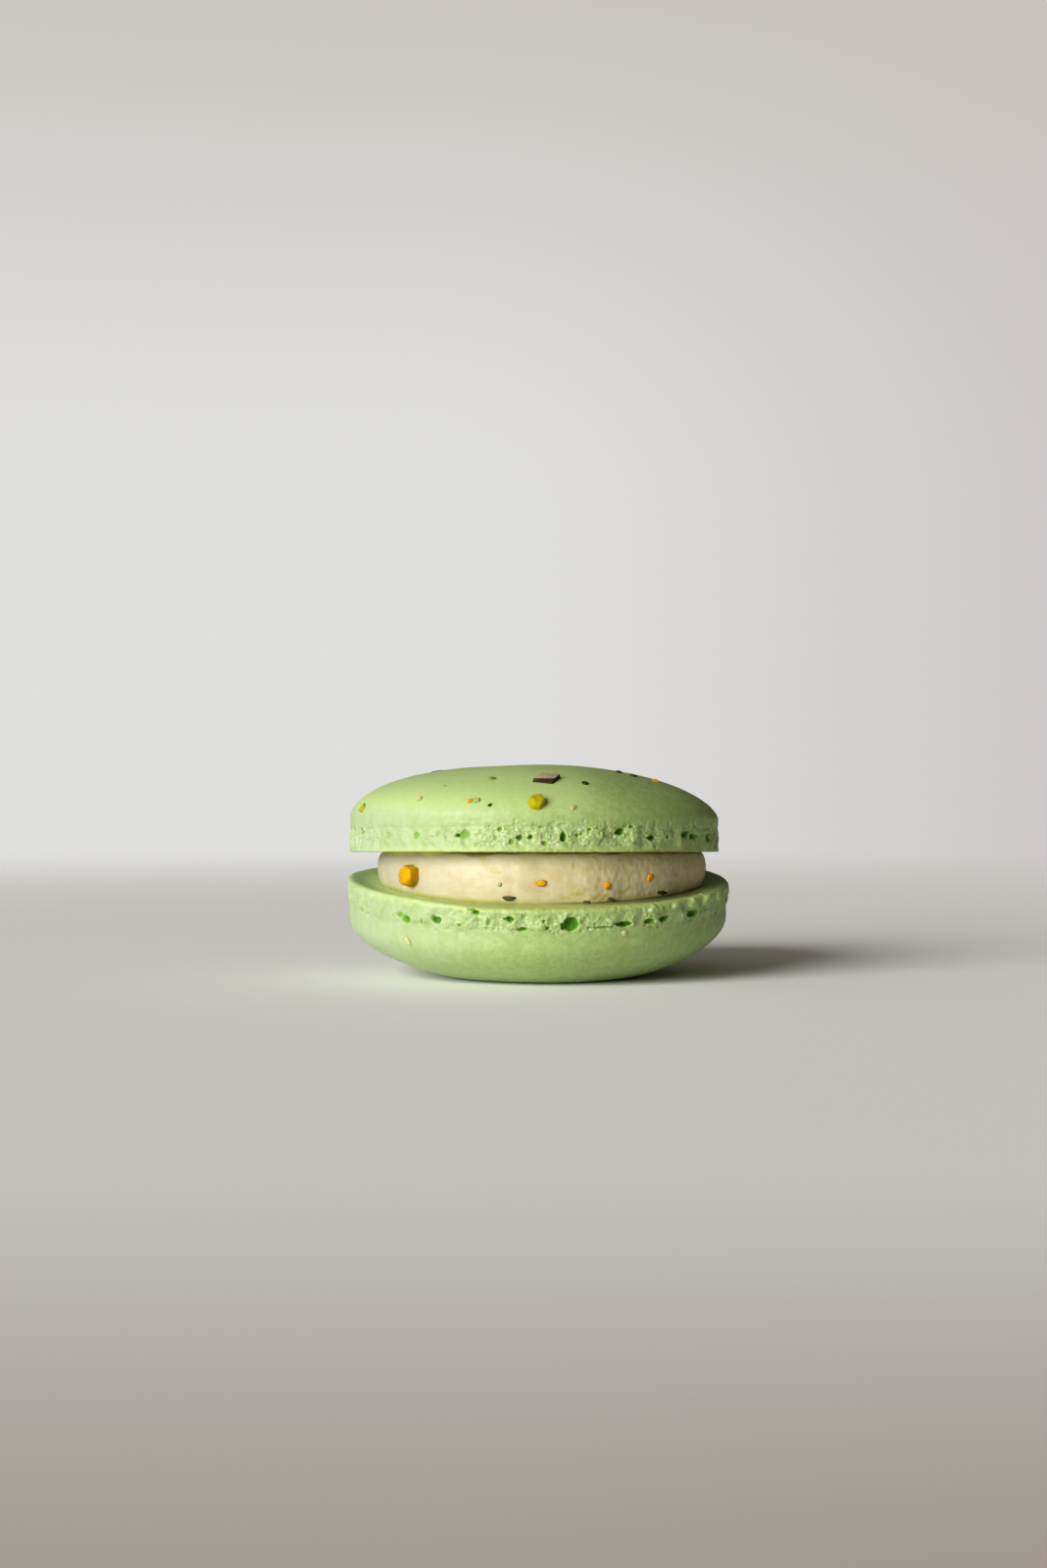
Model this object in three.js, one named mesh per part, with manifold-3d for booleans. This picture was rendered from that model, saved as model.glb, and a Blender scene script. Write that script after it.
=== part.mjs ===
// A French macaron: two almond-meringue shells, each a smooth dome on a ruffled foot, held together by a
// wedge of buttercream, with chopped nut and petal flakes baked onto the domes and stirred into the cream.
// Millimetres, +Z up. It rests on the flat of the lower shell's crown, and the thick side of the cream faces
// -Y. The origin is the middle of the base of the bounding box.
import * as THREE from "three";
import { mergeVertices } from "three/addons/utils/BufferGeometryUtils.js";
import Module from "manifold-3d";

const wasm = await Module();
wasm.setup();

// Driving dimensions. Each shell has a frame of its own, with its flat base at z = 0 and its crown up. Angles
// are in degrees from the front, -Y, towards +X. The dome rises from the shoulder to the crown as
// (1 - reach ** crownPower) ** (1 / sidePower), where reach is the share of the way from crown to shoulder.
// A pit is a burst bubble in the foot, and its rise is the share of the foot's height at which it lies. A
// flake whose reach is over 1 lies on the upright side under the shoulder.
const UPPER = {
  name: "upper_shell",
  baseHeight: 14.32,
  lean: -1.7,
  across: -0.3,
  footRadius: 21.6,
  footHeight: 2.75,
  domeRadius: 21.65,
  shoulderHeight: 3.9,
  crownHeight: 10.2,
  crownPower: 2.35,
  sidePower: 1.76,
  crownShift: -1.2,
  lopside: 0.02,
  curl: 0,
  seed: 3.7,
  pitsByRule: 30,
  flakesByRule: 20,
  pits: [
    { angle: -50, rise: 0.69, width: 1.3, height: 0.9, depth: 0.5 },
    { angle: -37.5, rise: 0.68, width: 1.2, height: 0.9, depth: 0.7 },
    { angle: -21.5, rise: 0.72, width: 2.0, height: 1.4, depth: 0.8 },
    { angle: -10.5, rise: 0.9, width: 1.2, height: 0.8, depth: 0.7 },
    { angle: -3, rise: 0.57, width: 1.7, height: 0.9, depth: 0.8 },
    { angle: 1.5, rise: 0.95, width: 1.2, height: 0.7, depth: 0.6 },
    { angle: 8, rise: 0.59, width: 1.3, height: 1.4, depth: 1.1 },
    { angle: 13, rise: 0.68, width: 1.2, height: 0.9, depth: 0.6 },
    { angle: 26, rise: 0.8, width: 1.8, height: 1.4, depth: 1.0 },
    { angle: 37, rise: 0.57, width: 1.3, height: 1.0, depth: 1.1 },
    { angle: 54, rise: 0.7, width: 2.4, height: 1.2, depth: 1.1 },
  ],
  flakes: [
    { angle: 7, reach: 0.765, length: 3.3, width: 2.5, thickness: 0.95, turn: 12 },
    { angle: 1, reach: 0.97, length: 2.0, width: 1.8, thickness: 0.9, turn: 30 },
    { angle: -18.5, reach: 0.958, length: 1.4, width: 1.0, thickness: 0.55, turn: 60 },
    { angle: -37.5, reach: 0.942, length: 1.1, width: 0.9, thickness: 0.4, turn: 15 },
    { angle: -67, reach: 0.98, length: 1.4, width: 1.2, thickness: 0.5, turn: 80 },
    { angle: -13, reach: 0.975, length: 0.9, width: 0.7, thickness: 0.4, turn: 40 },
    { angle: -31.5, reach: 0.835, length: 1.2, width: 0.8, thickness: 0.4, turn: 0 },
    { angle: -14.5, reach: 0.745, length: 1.4, width: 1.0, thickness: 0.45, turn: 25 },
    { angle: 20.5, reach: 0.819, length: 1.0, width: 0.7, thickness: 0.4, turn: 5 },
    { angle: 11.5, reach: 0.985, length: 0.9, width: 0.8, thickness: 0.3, turn: 50 },
    { angle: 62, reach: 0.564, length: 1.3, width: 0.9, thickness: 0.5, turn: 70 },
    { angle: 59, reach: 0.662, length: 1.1, width: 0.8, thickness: 0.5, turn: 10 },
    { angle: 67, reach: 0.745, length: 1.4, width: 1.0, thickness: 0.5, turn: 20 },
  ],
};
const LOWER = {
  name: "lower_shell",
  baseHeight: 11.02,
  lean: 5.65,
  across: 0,
  footRadius: 22.55,
  footHeight: 2.35,
  domeRadius: 22.25,
  shoulderHeight: 4.1,
  crownHeight: 11.75,
  crownPower: 1.95,
  sidePower: 1.88,
  crownShift: -0.35,
  lopside: 0.11,
  curl: 0.5,
  seed: 19.3,
  pitsByRule: 30,
  flakesByRule: 8,
  pits: [
    { angle: -41.5, rise: 0.85, width: 2.6, height: 1.4, depth: 0.9 },
    { angle: -30, rise: 0.75, width: 1.6, height: 1.1, depth: 1.0 },
    { angle: -18.5, rise: 0.1, width: 1.6, height: 0.7, depth: 0.8 },
    { angle: -8, rise: 0.49, width: 1.3, height: 0.8, depth: 0.9 },
    { angle: -4.5, rise: 0.92, width: 1.4, height: 0.7, depth: 0.7 },
    { angle: 9, rise: 0.72, width: 2.0, height: 1.7, depth: 1.4 },
    { angle: 20, rise: 0.92, width: 2.6, height: 0.6, depth: 0.8 },
    { angle: 26.5, rise: 0.85, width: 2.4, height: 0.9, depth: 1.5 },
    { angle: 33, rise: 0.8, width: 1.4, height: 0.9, depth: 0.8 },
    { angle: 39, rise: 0.8, width: 1.6, height: 1.0, depth: 0.9 },
    { angle: 50.5, rise: 0.8, width: 2.2, height: 1.0, depth: 0.9 },
  ],
  flakes: [
    { angle: -40.5, reach: 0.998, length: 1.0, width: 0.8, thickness: 0.35, turn: 20 },
    { angle: 25, reach: 1.047, length: 0.9, width: 0.7, thickness: 0.4, turn: 65 },
  ],
};
// The cream fills the wedge between the two bases. Its flakes lie on its side, rise of the way up. Those by
// rule lie within flakeArc to each side of the front, past which the cream is too thin for them.
const CREAM = {
  name: "filling",
  radius: 19.3,
  across: 0.45,
  bulge: 0.75,
  clearance: 0.3,
  seed: 31.1,
  flakeArc: [92, 118],
  flakesByRule: 4,
  flakes: [
    { angle: -50.5, rise: 0.44, length: 2.7, width: 2.3, thickness: 1.9, turn: -40 },
    { angle: -14, rise: 0.38, length: 0.7, width: 0.5, thickness: 0.4, turn: 30 },
    { angle: -11, rise: 0.13, length: 1.4, width: 0.7, thickness: 0.7, turn: -11 },
    { angle: -0.5, rise: 0.41, length: 1.3, width: 0.8, thickness: 0.6, turn: 5 },
    { angle: 14.7, rise: 0.09, length: 0.8, width: 0.5, thickness: 0.4, turn: 15 },
    { angle: 23, rise: 0.11, length: 1.0, width: 0.5, thickness: 0.4, turn: 23 },
    { angle: 21.5, rise: 0.35, length: 1.0, width: 0.9, thickness: 0.6, turn: 50 },
    { angle: 38.5, rise: 0.46, length: 1.2, width: 0.8, thickness: 0.5, turn: 85 },
    { angle: 44.5, rise: 0.13, length: 1.6, width: 0.6, thickness: 0.5, turn: 38 },
  ],
};

// Relief that both shells share: how far the foot's base edge is rounded and its skirt stands out, how deep
// it is tucked in under the dome, the height that it goes on inside the dome, and how coarse its ruffles are.
const FOOT = { round: 0.25, skirt: 0.12, tuck: 0.22, overlap: 0.8, inside: 1.4 };
const RUFFLE = { size: 0.24, span: 0.5 };
const GRAIN = { size: 0.13, span: 0.24 };
const HEM = { tuck: 0.22, wave: 0.25, span: 1.6 };
const RIM_WAVE = 0.25;
// A shell's curl is how far its rim curls off the plane of its base, over an arc to the left of the front.
const CURL = { width: 2.2, start: [-125, -85], end: [-45, -12] };
const DOME_SWELL = { size: 0.12, span: 3.4 };
const CREAM_SMEAR = { size: 0.22, span: 2.1 };
const CREAM_RIPPLE = { size: 0.09, span: 0.55 };
const FLAKE_SINK = 0.12;

// Divisions: round the foot, the dome and the cream, and rows between their edges.
const FOOT_SEGMENTS = 174;
const FOOT_ROWS = 6;
const DOME_SEGMENTS = 62;
const DOME_ROWS = 7;
const CREAM_SEGMENTS = 96;
const CREAM_ROWS = 5;
const MERGE_DISTANCE = 1e-4;
const AXIS_EPSILON = 1e-6;

// The arc, to each side of the front, that the named pits cover.
const NAMED_ARC = 62;

const { degToRad, lerp, radToDeg, smoothstep } = THREE.MathUtils;

// A fixed scatter of shares from 0 to 1 for what is placed by rule.
function share(index, way) {
  const drawn = Math.sin(12.9898 * (index + 1) + 78.233 * way) * 43758.5453;
  return drawn - Math.floor(drawn);
}

// Smooth unevenness from -1 to 1, in steps of about three units.
function swell(x, y, z, seed) {
  return (
    0.45 * Math.sin(x + 1.7 * Math.sin(0.8 * y + seed)) +
    0.35 * Math.sin(1.3 * y + 1.3 * Math.sin(0.9 * z + 2 * seed)) +
    0.2 * Math.sin(1.9 * x - 1.1 * y + 1.7 * z + 3 * seed)
  );
}

// The same unevenness on the skin of an upright drum, for relief of a given size and span.
function relief(kind, radius, angle, z, seed) {
  const x = (Math.sin(angle) * radius) / kind.span;
  const y = (-Math.cos(angle) * radius) / kind.span;
  return kind.size * swell(x, y, z / kind.span, seed);
}

// Slow waves that make a rim less than round.
function rimWave(angle, seed) {
  return (
    RIM_WAVE *
    (0.5 * Math.sin(2 * angle + seed) +
      0.3 * Math.sin(3 * angle + 2.1 * seed) +
      0.2 * Math.sin(7 * angle + 3.3 * seed))
  );
}

// An even row of angles over the arc that no named piece covers, each a little out of step.
function ruledAngle(index, count, way) {
  const step = (360 - 2 * NAMED_ARC) / count;
  return NAMED_ARC + step * (index + 0.2 + 0.6 * share(index, way));
}

function pitsOf(shell) {
  const pits = [...shell.pits];
  for (let i = 0; i < shell.pitsByRule; i++) {
    pits.push({
      angle: ruledAngle(i, shell.pitsByRule, shell.seed),
      rise: lerp(0.4, 0.95, share(i, shell.seed + 1)),
      width: lerp(0.9, 2.4, share(i, shell.seed + 2) ** 2),
      height: lerp(0.6, 1.4, share(i, shell.seed + 3)),
      depth: lerp(0.5, 1.3, share(i, shell.seed + 2)),
    });
  }
  return pits;
}

// How far the pits set the foot's side back at one place.
function pitDepth(shell, pits, angle, z) {
  let depth = 0;
  for (const pit of pits) {
    const turn = Math.abs(angle - degToRad(pit.angle)) % (2 * Math.PI);
    const along = (Math.min(turn, 2 * Math.PI - turn) * shell.footRadius) / (pit.width / 2);
    const up = (z - pit.rise * shell.footHeight) / (pit.height / 2);
    const away = along * along + up * up;
    if (away < 1) depth = Math.max(depth, pit.depth * Math.sqrt(1 - away));
  }
  return depth;
}

// The foot's outer radius: a rounded base edge and a thin skirt, then ruffles and burst bubbles.
function footEdge(shell, pits, angle, z) {
  const rise = z / shell.footHeight;
  const frill = smoothstep(rise, 0, 0.3);
  const rough =
    relief(RUFFLE, shell.footRadius, angle, z, shell.seed) +
    relief(GRAIN, shell.footRadius, angle, z, shell.seed + 1);
  return (
    shell.footRadius +
    rimWave(angle, shell.seed) +
    FOOT.skirt * (1 - frill) -
    FOOT.round * (1 - smoothstep(z, 0, FOOT.round)) -
    FOOT.tuck * smoothstep(rise, 0.6, 1) +
    frill * rough -
    pitDepth(shell, pits, angle, z)
  );
}

// How far the rim curls off the base's plane there: most at the base's edge, and not at all over the foot.
function curlHeight(shell, angle, radius, z) {
  const turn = radToDeg(angle);
  const arc = smoothstep(turn, ...CURL.start) * (1 - smoothstep(turn, ...CURL.end));
  const rim = smoothstep(radius, shell.footRadius - CURL.width, shell.footRadius);
  return shell.curl * arc * rim * Math.max(0, 1 - z / shell.footHeight);
}

// A lathed solid whose points are moved by place(angle, radius, z), which gives a new point. A point on the
// axis stays on it.
function turned(profile, segments, place) {
  const lathe = new THREE.LatheGeometry(profile, segments).rotateX(Math.PI / 2);
  const points = lathe.getAttribute("position");
  for (let i = 0; i < points.count; i++) {
    const radius = Math.hypot(points.getX(i), points.getY(i));
    const onAxis = radius < AXIS_EPSILON;
    const angle = onAxis ? 0 : Math.atan2(points.getX(i), -points.getY(i));
    const moved = place(angle, onAxis ? 0 : radius, points.getZ(i));
    points.setXYZ(i, moved.x, moved.y, moved.z);
  }
  return lathe;
}

// A closed geometry as a solid for joining and cutting.
function solidFrom(geometry) {
  const bare = geometry.clone();
  bare.deleteAttribute("normal");
  bare.deleteAttribute("uv");
  const merged = mergeVertices(bare, MERGE_DISTANCE);
  const corners = merged.index.array;
  const faces = [];
  for (let i = 0; i < corners.length; i += 3) {
    const [a, b, c] = corners.slice(i, i + 3);
    if (a !== b && b !== c && c !== a) faces.push(a, b, c);
  }
  return new wasm.Manifold(
    new wasm.Mesh({
      numProp: 3,
      vertProperties: new Float32Array(merged.getAttribute("position").array),
      triVerts: new Uint32Array(faces),
    }),
  );
}

// A joined solid back as a geometry.
function geometryFrom(solid) {
  const mesh = solid.getMesh();
  const points = new Float32Array(mesh.numVert * 3);
  for (let i = 0; i < mesh.numVert; i++) {
    points.set(mesh.vertProperties.subarray(i * mesh.numProp, i * mesh.numProp + 3), i * 3);
  }
  const geometry = new THREE.BufferGeometry();
  geometry.setAttribute("position", new THREE.BufferAttribute(points, 3));
  geometry.setIndex(new THREE.BufferAttribute(mesh.triVerts, 1));
  const faceted = geometry.toNonIndexed();
  faceted.computeVertexNormals();
  return faceted;
}

// A point at a radius in a direction, moved along +X by across.
function polar(angle, radius, z, across) {
  return new THREE.Vector3(across + Math.sin(angle) * radius, -Math.cos(angle) * radius, z);
}

// The foot with the flat base: a disc with a ruffled side that ends inside the dome.
function footSolid(shell) {
  const pits = pitsOf(shell);
  const top = shell.footHeight + FOOT.overlap;
  const profile = [new THREE.Vector2(0, 0)];
  if (shell.curl > 0) profile.push(new THREE.Vector2(shell.footRadius - CURL.width, 0));
  profile.push(new THREE.Vector2(shell.footRadius, 0));
  for (let row = 0; row <= FOOT_ROWS; row++) {
    const z = lerp(FOOT.round, shell.footHeight + 0.1, row / FOOT_ROWS);
    profile.push(new THREE.Vector2(shell.footRadius, z));
  }
  profile.push(new THREE.Vector2(shell.footRadius, top), new THREE.Vector2(0, top));
  return solidFrom(
    turned(profile, FOOT_SEGMENTS, (angle, radius, z) => {
      const inside = z > shell.footHeight + 0.2 ? FOOT.inside : 0;
      const inward = inside + shell.footRadius - radius;
      const edge = radius === 0 ? 0 : footEdge(shell, pits, angle, z) - inward;
      return polar(angle, edge, z - curlHeight(shell, angle, radius, z), 0);
    }),
  );
}

// A point of the dome's skin. Reach 0 is the crown, and 1 the shoulder, where the side stands upright.
function domePoint(shell, angle, reach) {
  const fall = Math.max(0, 1 - reach ** shell.crownPower);
  const rise = fall ** (1 / shell.sidePower);
  const radius = reach * (shell.domeRadius + rimWave(angle, shell.seed));
  const tip = 1 + shell.lopside * Math.sin(angle) * reach * (1 - reach * reach);
  const lumps = relief(DOME_SWELL, reach * shell.domeRadius, angle, 0, shell.seed);
  const height = (shell.crownHeight - shell.shoulderHeight) * tip + lumps;
  return polar(angle, radius, shell.shoulderHeight + height * rise, shell.crownShift * rise);
}

// The dome: a skin from the crown to the shoulder, rolled under where it meets the foot in a wavy hem.
function domeSolid(shell) {
  const hem = shell.shoulderHeight - shell.footHeight;
  const profile = [
    new THREE.Vector2(0, 0),
    new THREE.Vector2(shell.domeRadius - 1.2, 0),
    new THREE.Vector2(shell.domeRadius - HEM.tuck, 0.1 * hem),
    new THREE.Vector2(shell.domeRadius - 0.15 * HEM.tuck, 0.45 * hem),
  ];
  for (let row = 0; row < DOME_ROWS; row++) {
    const slope = (row / DOME_ROWS) * (Math.PI / 2);
    profile.push(new THREE.Vector2(shell.domeRadius * Math.cos(slope), hem + row));
  }
  profile.push(new THREE.Vector2(0, hem + DOME_ROWS));
  return solidFrom(
    turned(profile, DOME_SEGMENTS, (angle, radius, z) => {
      if (z > hem - AXIS_EPSILON) return domePoint(shell, angle, radius / shell.domeRadius);
      const wave = relief({ size: HEM.wave, span: HEM.span }, radius, angle, 0, shell.seed);
      const level = shell.footHeight + z + (radius === 0 ? 0 : wave * (1 - z / hem));
      const edge = radius === 0 ? 0 : radius + rimWave(angle, shell.seed);
      return polar(angle, edge, level, 0);
    }),
  );
}

// A flat angular crumb with its broad face square to +Z: a squashed and skewed icosahedron.
function crumb(flake, index) {
  const geometry = new THREE.IcosahedronGeometry(1, 0);
  const points = geometry.getAttribute("position");
  for (let i = 0; i < points.count; i++) {
    const p = new THREE.Vector3().fromBufferAttribute(points, i);
    const skew = 1 + 0.28 * Math.sin(5.1 * p.x + 3.7 * p.y + 2.9 * p.z + index);
    p.set(p.x * skew * flake.length, p.y * skew * flake.width, p.z * flake.thickness);
    points.setXYZ(i, p.x / 2, p.y / 2, p.z / 2);
  }
  return geometry.rotateZ(degToRad(flake.turn));
}

// The crumb laid on a surface with that normal, about half sunk in it.
function laidFlake(flake, index, point, normal) {
  const turn = new THREE.Quaternion().setFromUnitVectors(new THREE.Vector3(0, 0, 1), normal);
  const centre = point.clone().addScaledVector(normal, flake.thickness * 0.17 - FLAKE_SINK);
  const placement = new THREE.Matrix4().compose(centre, turn, new THREE.Vector3(1, 1, 1));
  return solidFrom(crumb(flake, index).applyMatrix4(placement));
}

// A point of the dome's skin, or of the side under it where reach is over 1.
function skinPoint(shell, angle, reach) {
  if (reach <= 1) return domePoint(shell, angle, reach);
  const height = shell.shoulderHeight - (reach - 1) * shell.domeRadius;
  return polar(angle, shell.domeRadius + rimWave(angle, shell.seed), height, 0);
}

// A shell's flakes: the named ones, then those scattered by rule: over the crown of the shell that lies
// crown up, and over the sides and the back of the one that rests on its crown.
function domeFlakes(shell) {
  const flakes = [...shell.flakes];
  const crownDown = shell === LOWER;
  for (let i = 0; i < shell.flakesByRule; i++) {
    const size = share(i, shell.seed + 6) ** 2;
    flakes.push({
      angle: 95 + 170 * share(i, shell.seed + 4),
      reach: Math.sqrt(lerp(crownDown ? 0.62 : 0.01, 0.92, share(i, shell.seed + 5))),
      length: lerp(0.9, 2.4, size),
      width: lerp(0.7, 1.6, size),
      thickness: lerp(0.35, 0.6, size),
      turn: 180 * share(i, shell.seed + 7),
    });
  }
  return flakes.map((flake, index) => {
    const step = 0.004;
    const angle = degToRad(flake.angle);
    const point = skinPoint(shell, angle, flake.reach);
    const inward = skinPoint(shell, angle, flake.reach - step).sub(point);
    const sideways = skinPoint(shell, angle + step, flake.reach).sub(point);
    return laidFlake(flake, index, point, sideways.cross(inward).normalize());
  });
}

function shellSolid(shell) {
  return [domeSolid(shell), ...domeFlakes(shell)].reduce(
    (whole, piece) => whole.add(piece),
    footSolid(shell),
  );
}

// The height of a shell's base plane over a place.
function basePlane(shell, y) {
  return shell.baseHeight + y * Math.tan(degToRad(shell.lean));
}

// A point of the cream: rise 0 is its underside and 1 its top, and its side swells between them.
function creamPoint(angle, reach, rise) {
  const rough =
    relief(CREAM_SMEAR, CREAM.radius, angle, 2 * rise, CREAM.seed) +
    relief(CREAM_RIPPLE, CREAM.radius, angle, rise, CREAM.seed + 1);
  const bulge = CREAM.bulge * (Math.sqrt(Math.max(0, Math.sin(Math.PI * rise))) - 1);
  const radius = reach * (CREAM.radius + bulge + rough + rimWave(angle, CREAM.seed));
  const point = polar(angle, radius, 0, CREAM.across);
  const under = basePlane(LOWER, point.y) + CREAM.clearance;
  const over = basePlane(UPPER, point.y) - CREAM.clearance;
  point.z = lerp(under, over, rise);
  return point;
}

function creamFlakes() {
  const flakes = [...CREAM.flakes];
  const pairs = CREAM.flakesByRule / 2;
  for (let i = 0; i < CREAM.flakesByRule; i++) {
    const side = i % 2 ? 1 : -1;
    const along = (Math.floor(i / 2) + 0.2 + 0.6 * share(i, CREAM.seed)) / pairs;
    flakes.push({
      angle: side * lerp(...CREAM.flakeArc, along),
      rise: lerp(0.3, 0.7, share(i, CREAM.seed + 1)),
      length: lerp(0.8, 1.5, share(i, CREAM.seed + 2)),
      width: lerp(0.5, 0.9, share(i, CREAM.seed + 3)),
      thickness: 0.6,
      turn: lerp(0, 25, share(i, CREAM.seed + 4)),
    });
  }
  return flakes.map((flake, index) => {
    const angle = degToRad(flake.angle);
    const point = creamPoint(angle, 1, flake.rise);
    const room = basePlane(UPPER, point.y) - basePlane(LOWER, point.y) - 2 * CREAM.clearance;
    const scale = Math.min(1, (0.8 * room) / flake.width);
    const fitted = { ...flake, length: flake.length * scale, width: flake.width * scale };
    return laidFlake(fitted, index, point, polar(angle, 1, 0, 0));
  });
}

function creamSolid() {
  const profile = [new THREE.Vector2(0, 0)];
  for (let row = 0; row <= CREAM_ROWS; row++) {
    profile.push(new THREE.Vector2(CREAM.radius, row / CREAM_ROWS));
  }
  profile.push(new THREE.Vector2(0, 1));
  const disc = turned(profile, CREAM_SEGMENTS, (angle, radius, rise) =>
    creamPoint(angle, radius / CREAM.radius, rise),
  );
  return creamFlakes().reduce((whole, piece) => whole.add(piece), solidFrom(disc));
}

function macaronMesh(name, solid, colour, roughness) {
  const material = new THREE.MeshStandardMaterial({ color: colour, roughness, metalness: 0 });
  const mesh = new THREE.Mesh(geometryFrom(solid), material);
  mesh.name = name;
  return mesh;
}

// The lower shell, crown down, cut level where it would otherwise reach below the floor.
function restingSolid(shell) {
  const size = 4 * shell.domeRadius;
  const below = new THREE.BoxGeometry(size, size, size);
  below.translate(0, 0, -size / 2 - shell.baseHeight).rotateX(-degToRad(shell.lean));
  return shellSolid(shell).mirror([0, 0, 1]).subtract(solidFrom(below));
}

function assemble() {
  const upper = macaronMesh(UPPER.name, shellSolid(UPPER), 0xa9c77a, 0.7);
  upper.position.set(UPPER.across, 0, UPPER.baseHeight);
  upper.rotation.x = degToRad(UPPER.lean);

  const lower = macaronMesh(LOWER.name, restingSolid(LOWER), 0xa9c77a, 0.7);
  lower.position.set(LOWER.across, 0, LOWER.baseHeight);
  lower.rotation.x = degToRad(LOWER.lean);

  const cream = macaronMesh(CREAM.name, creamSolid(), 0xe6d8a8, 0.55);
  const macaron = new THREE.Group();
  macaron.add(upper, cream, lower);

  // The middle of the base of the bounding box goes to the origin.
  const box = new THREE.Box3().setFromObject(macaron, true);
  macaron.position.set(-(box.min.x + box.max.x) / 2, -(box.min.y + box.max.y) / 2, -box.min.z);
  return macaron;
}

export default assemble();
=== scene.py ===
import math
import random
from dataclasses import dataclass

import bmesh
import bpy
from mathutils import Matrix, Vector, noise
from mathutils.kdtree import KDTree


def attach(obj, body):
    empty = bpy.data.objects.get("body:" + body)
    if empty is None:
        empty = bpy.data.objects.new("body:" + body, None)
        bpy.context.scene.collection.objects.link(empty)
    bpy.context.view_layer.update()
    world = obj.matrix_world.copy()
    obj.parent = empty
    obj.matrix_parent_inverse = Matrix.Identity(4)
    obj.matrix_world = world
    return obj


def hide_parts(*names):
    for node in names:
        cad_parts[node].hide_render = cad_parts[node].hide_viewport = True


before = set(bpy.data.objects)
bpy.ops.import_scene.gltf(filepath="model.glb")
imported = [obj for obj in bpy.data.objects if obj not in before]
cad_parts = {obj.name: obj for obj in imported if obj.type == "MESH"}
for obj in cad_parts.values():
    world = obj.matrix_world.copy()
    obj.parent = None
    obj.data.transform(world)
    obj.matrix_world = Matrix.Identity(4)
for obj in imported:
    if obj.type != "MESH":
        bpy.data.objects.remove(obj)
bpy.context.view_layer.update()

MM = 0.001
PER_MM = 1 / MM


# Sizes. Angles are in degrees from the front, -Y, towards +X.
@dataclass(frozen=True)
class Spot:
    """A burst bubble or a lump in a shell's side. Its rise is a share of the foot's height."""

    angle: float
    rise: float
    width: float
    height: float
    depth: float


@dataclass(frozen=True)
class Flake:
    """A chopped flake. Along is its reach on a shell, 0 at the crown, 1 at the shoulder and more on the side
    under it, or its rise in the cream. Ripe goes from 0, its young colour, to 1. It is cut from a slab with
    that many corners, by that many breaks."""

    kind: str
    angle: float
    along: float
    length: float
    width: float
    thickness: float
    turn: float
    ripe: float = 0.0
    corners: int = 6
    breaks: int = 3


@dataclass(frozen=True)
class Tint:
    """One kind of flake's colours, the share of dust and painted light on its top, and how strong its grain
    is.
    """

    kind: str
    young: tuple
    ripe: tuple
    dust_and_painted_light: tuple
    dust_and_light_share: float
    grain: float


@dataclass(frozen=True)
class Shell:
    """A meringue shell: a foot with a flat base under a dome that rises from the shoulder to the crown.
    Froth holds knots of (angle, amount)."""

    node: str
    base_height: float
    lean: float
    across: float
    crown_down: bool
    foot_radius: float
    foot_height: float
    lip: float
    skirt: float
    dome_radius: float
    shoulder: float
    crown: float
    crown_power: float
    side_power: float
    crown_shift: float
    lopside: float
    curl: float
    seed: float
    flakes_by_rule: int
    froth: tuple
    hollows: tuple
    lumps: tuple
    flakes: tuple


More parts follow.
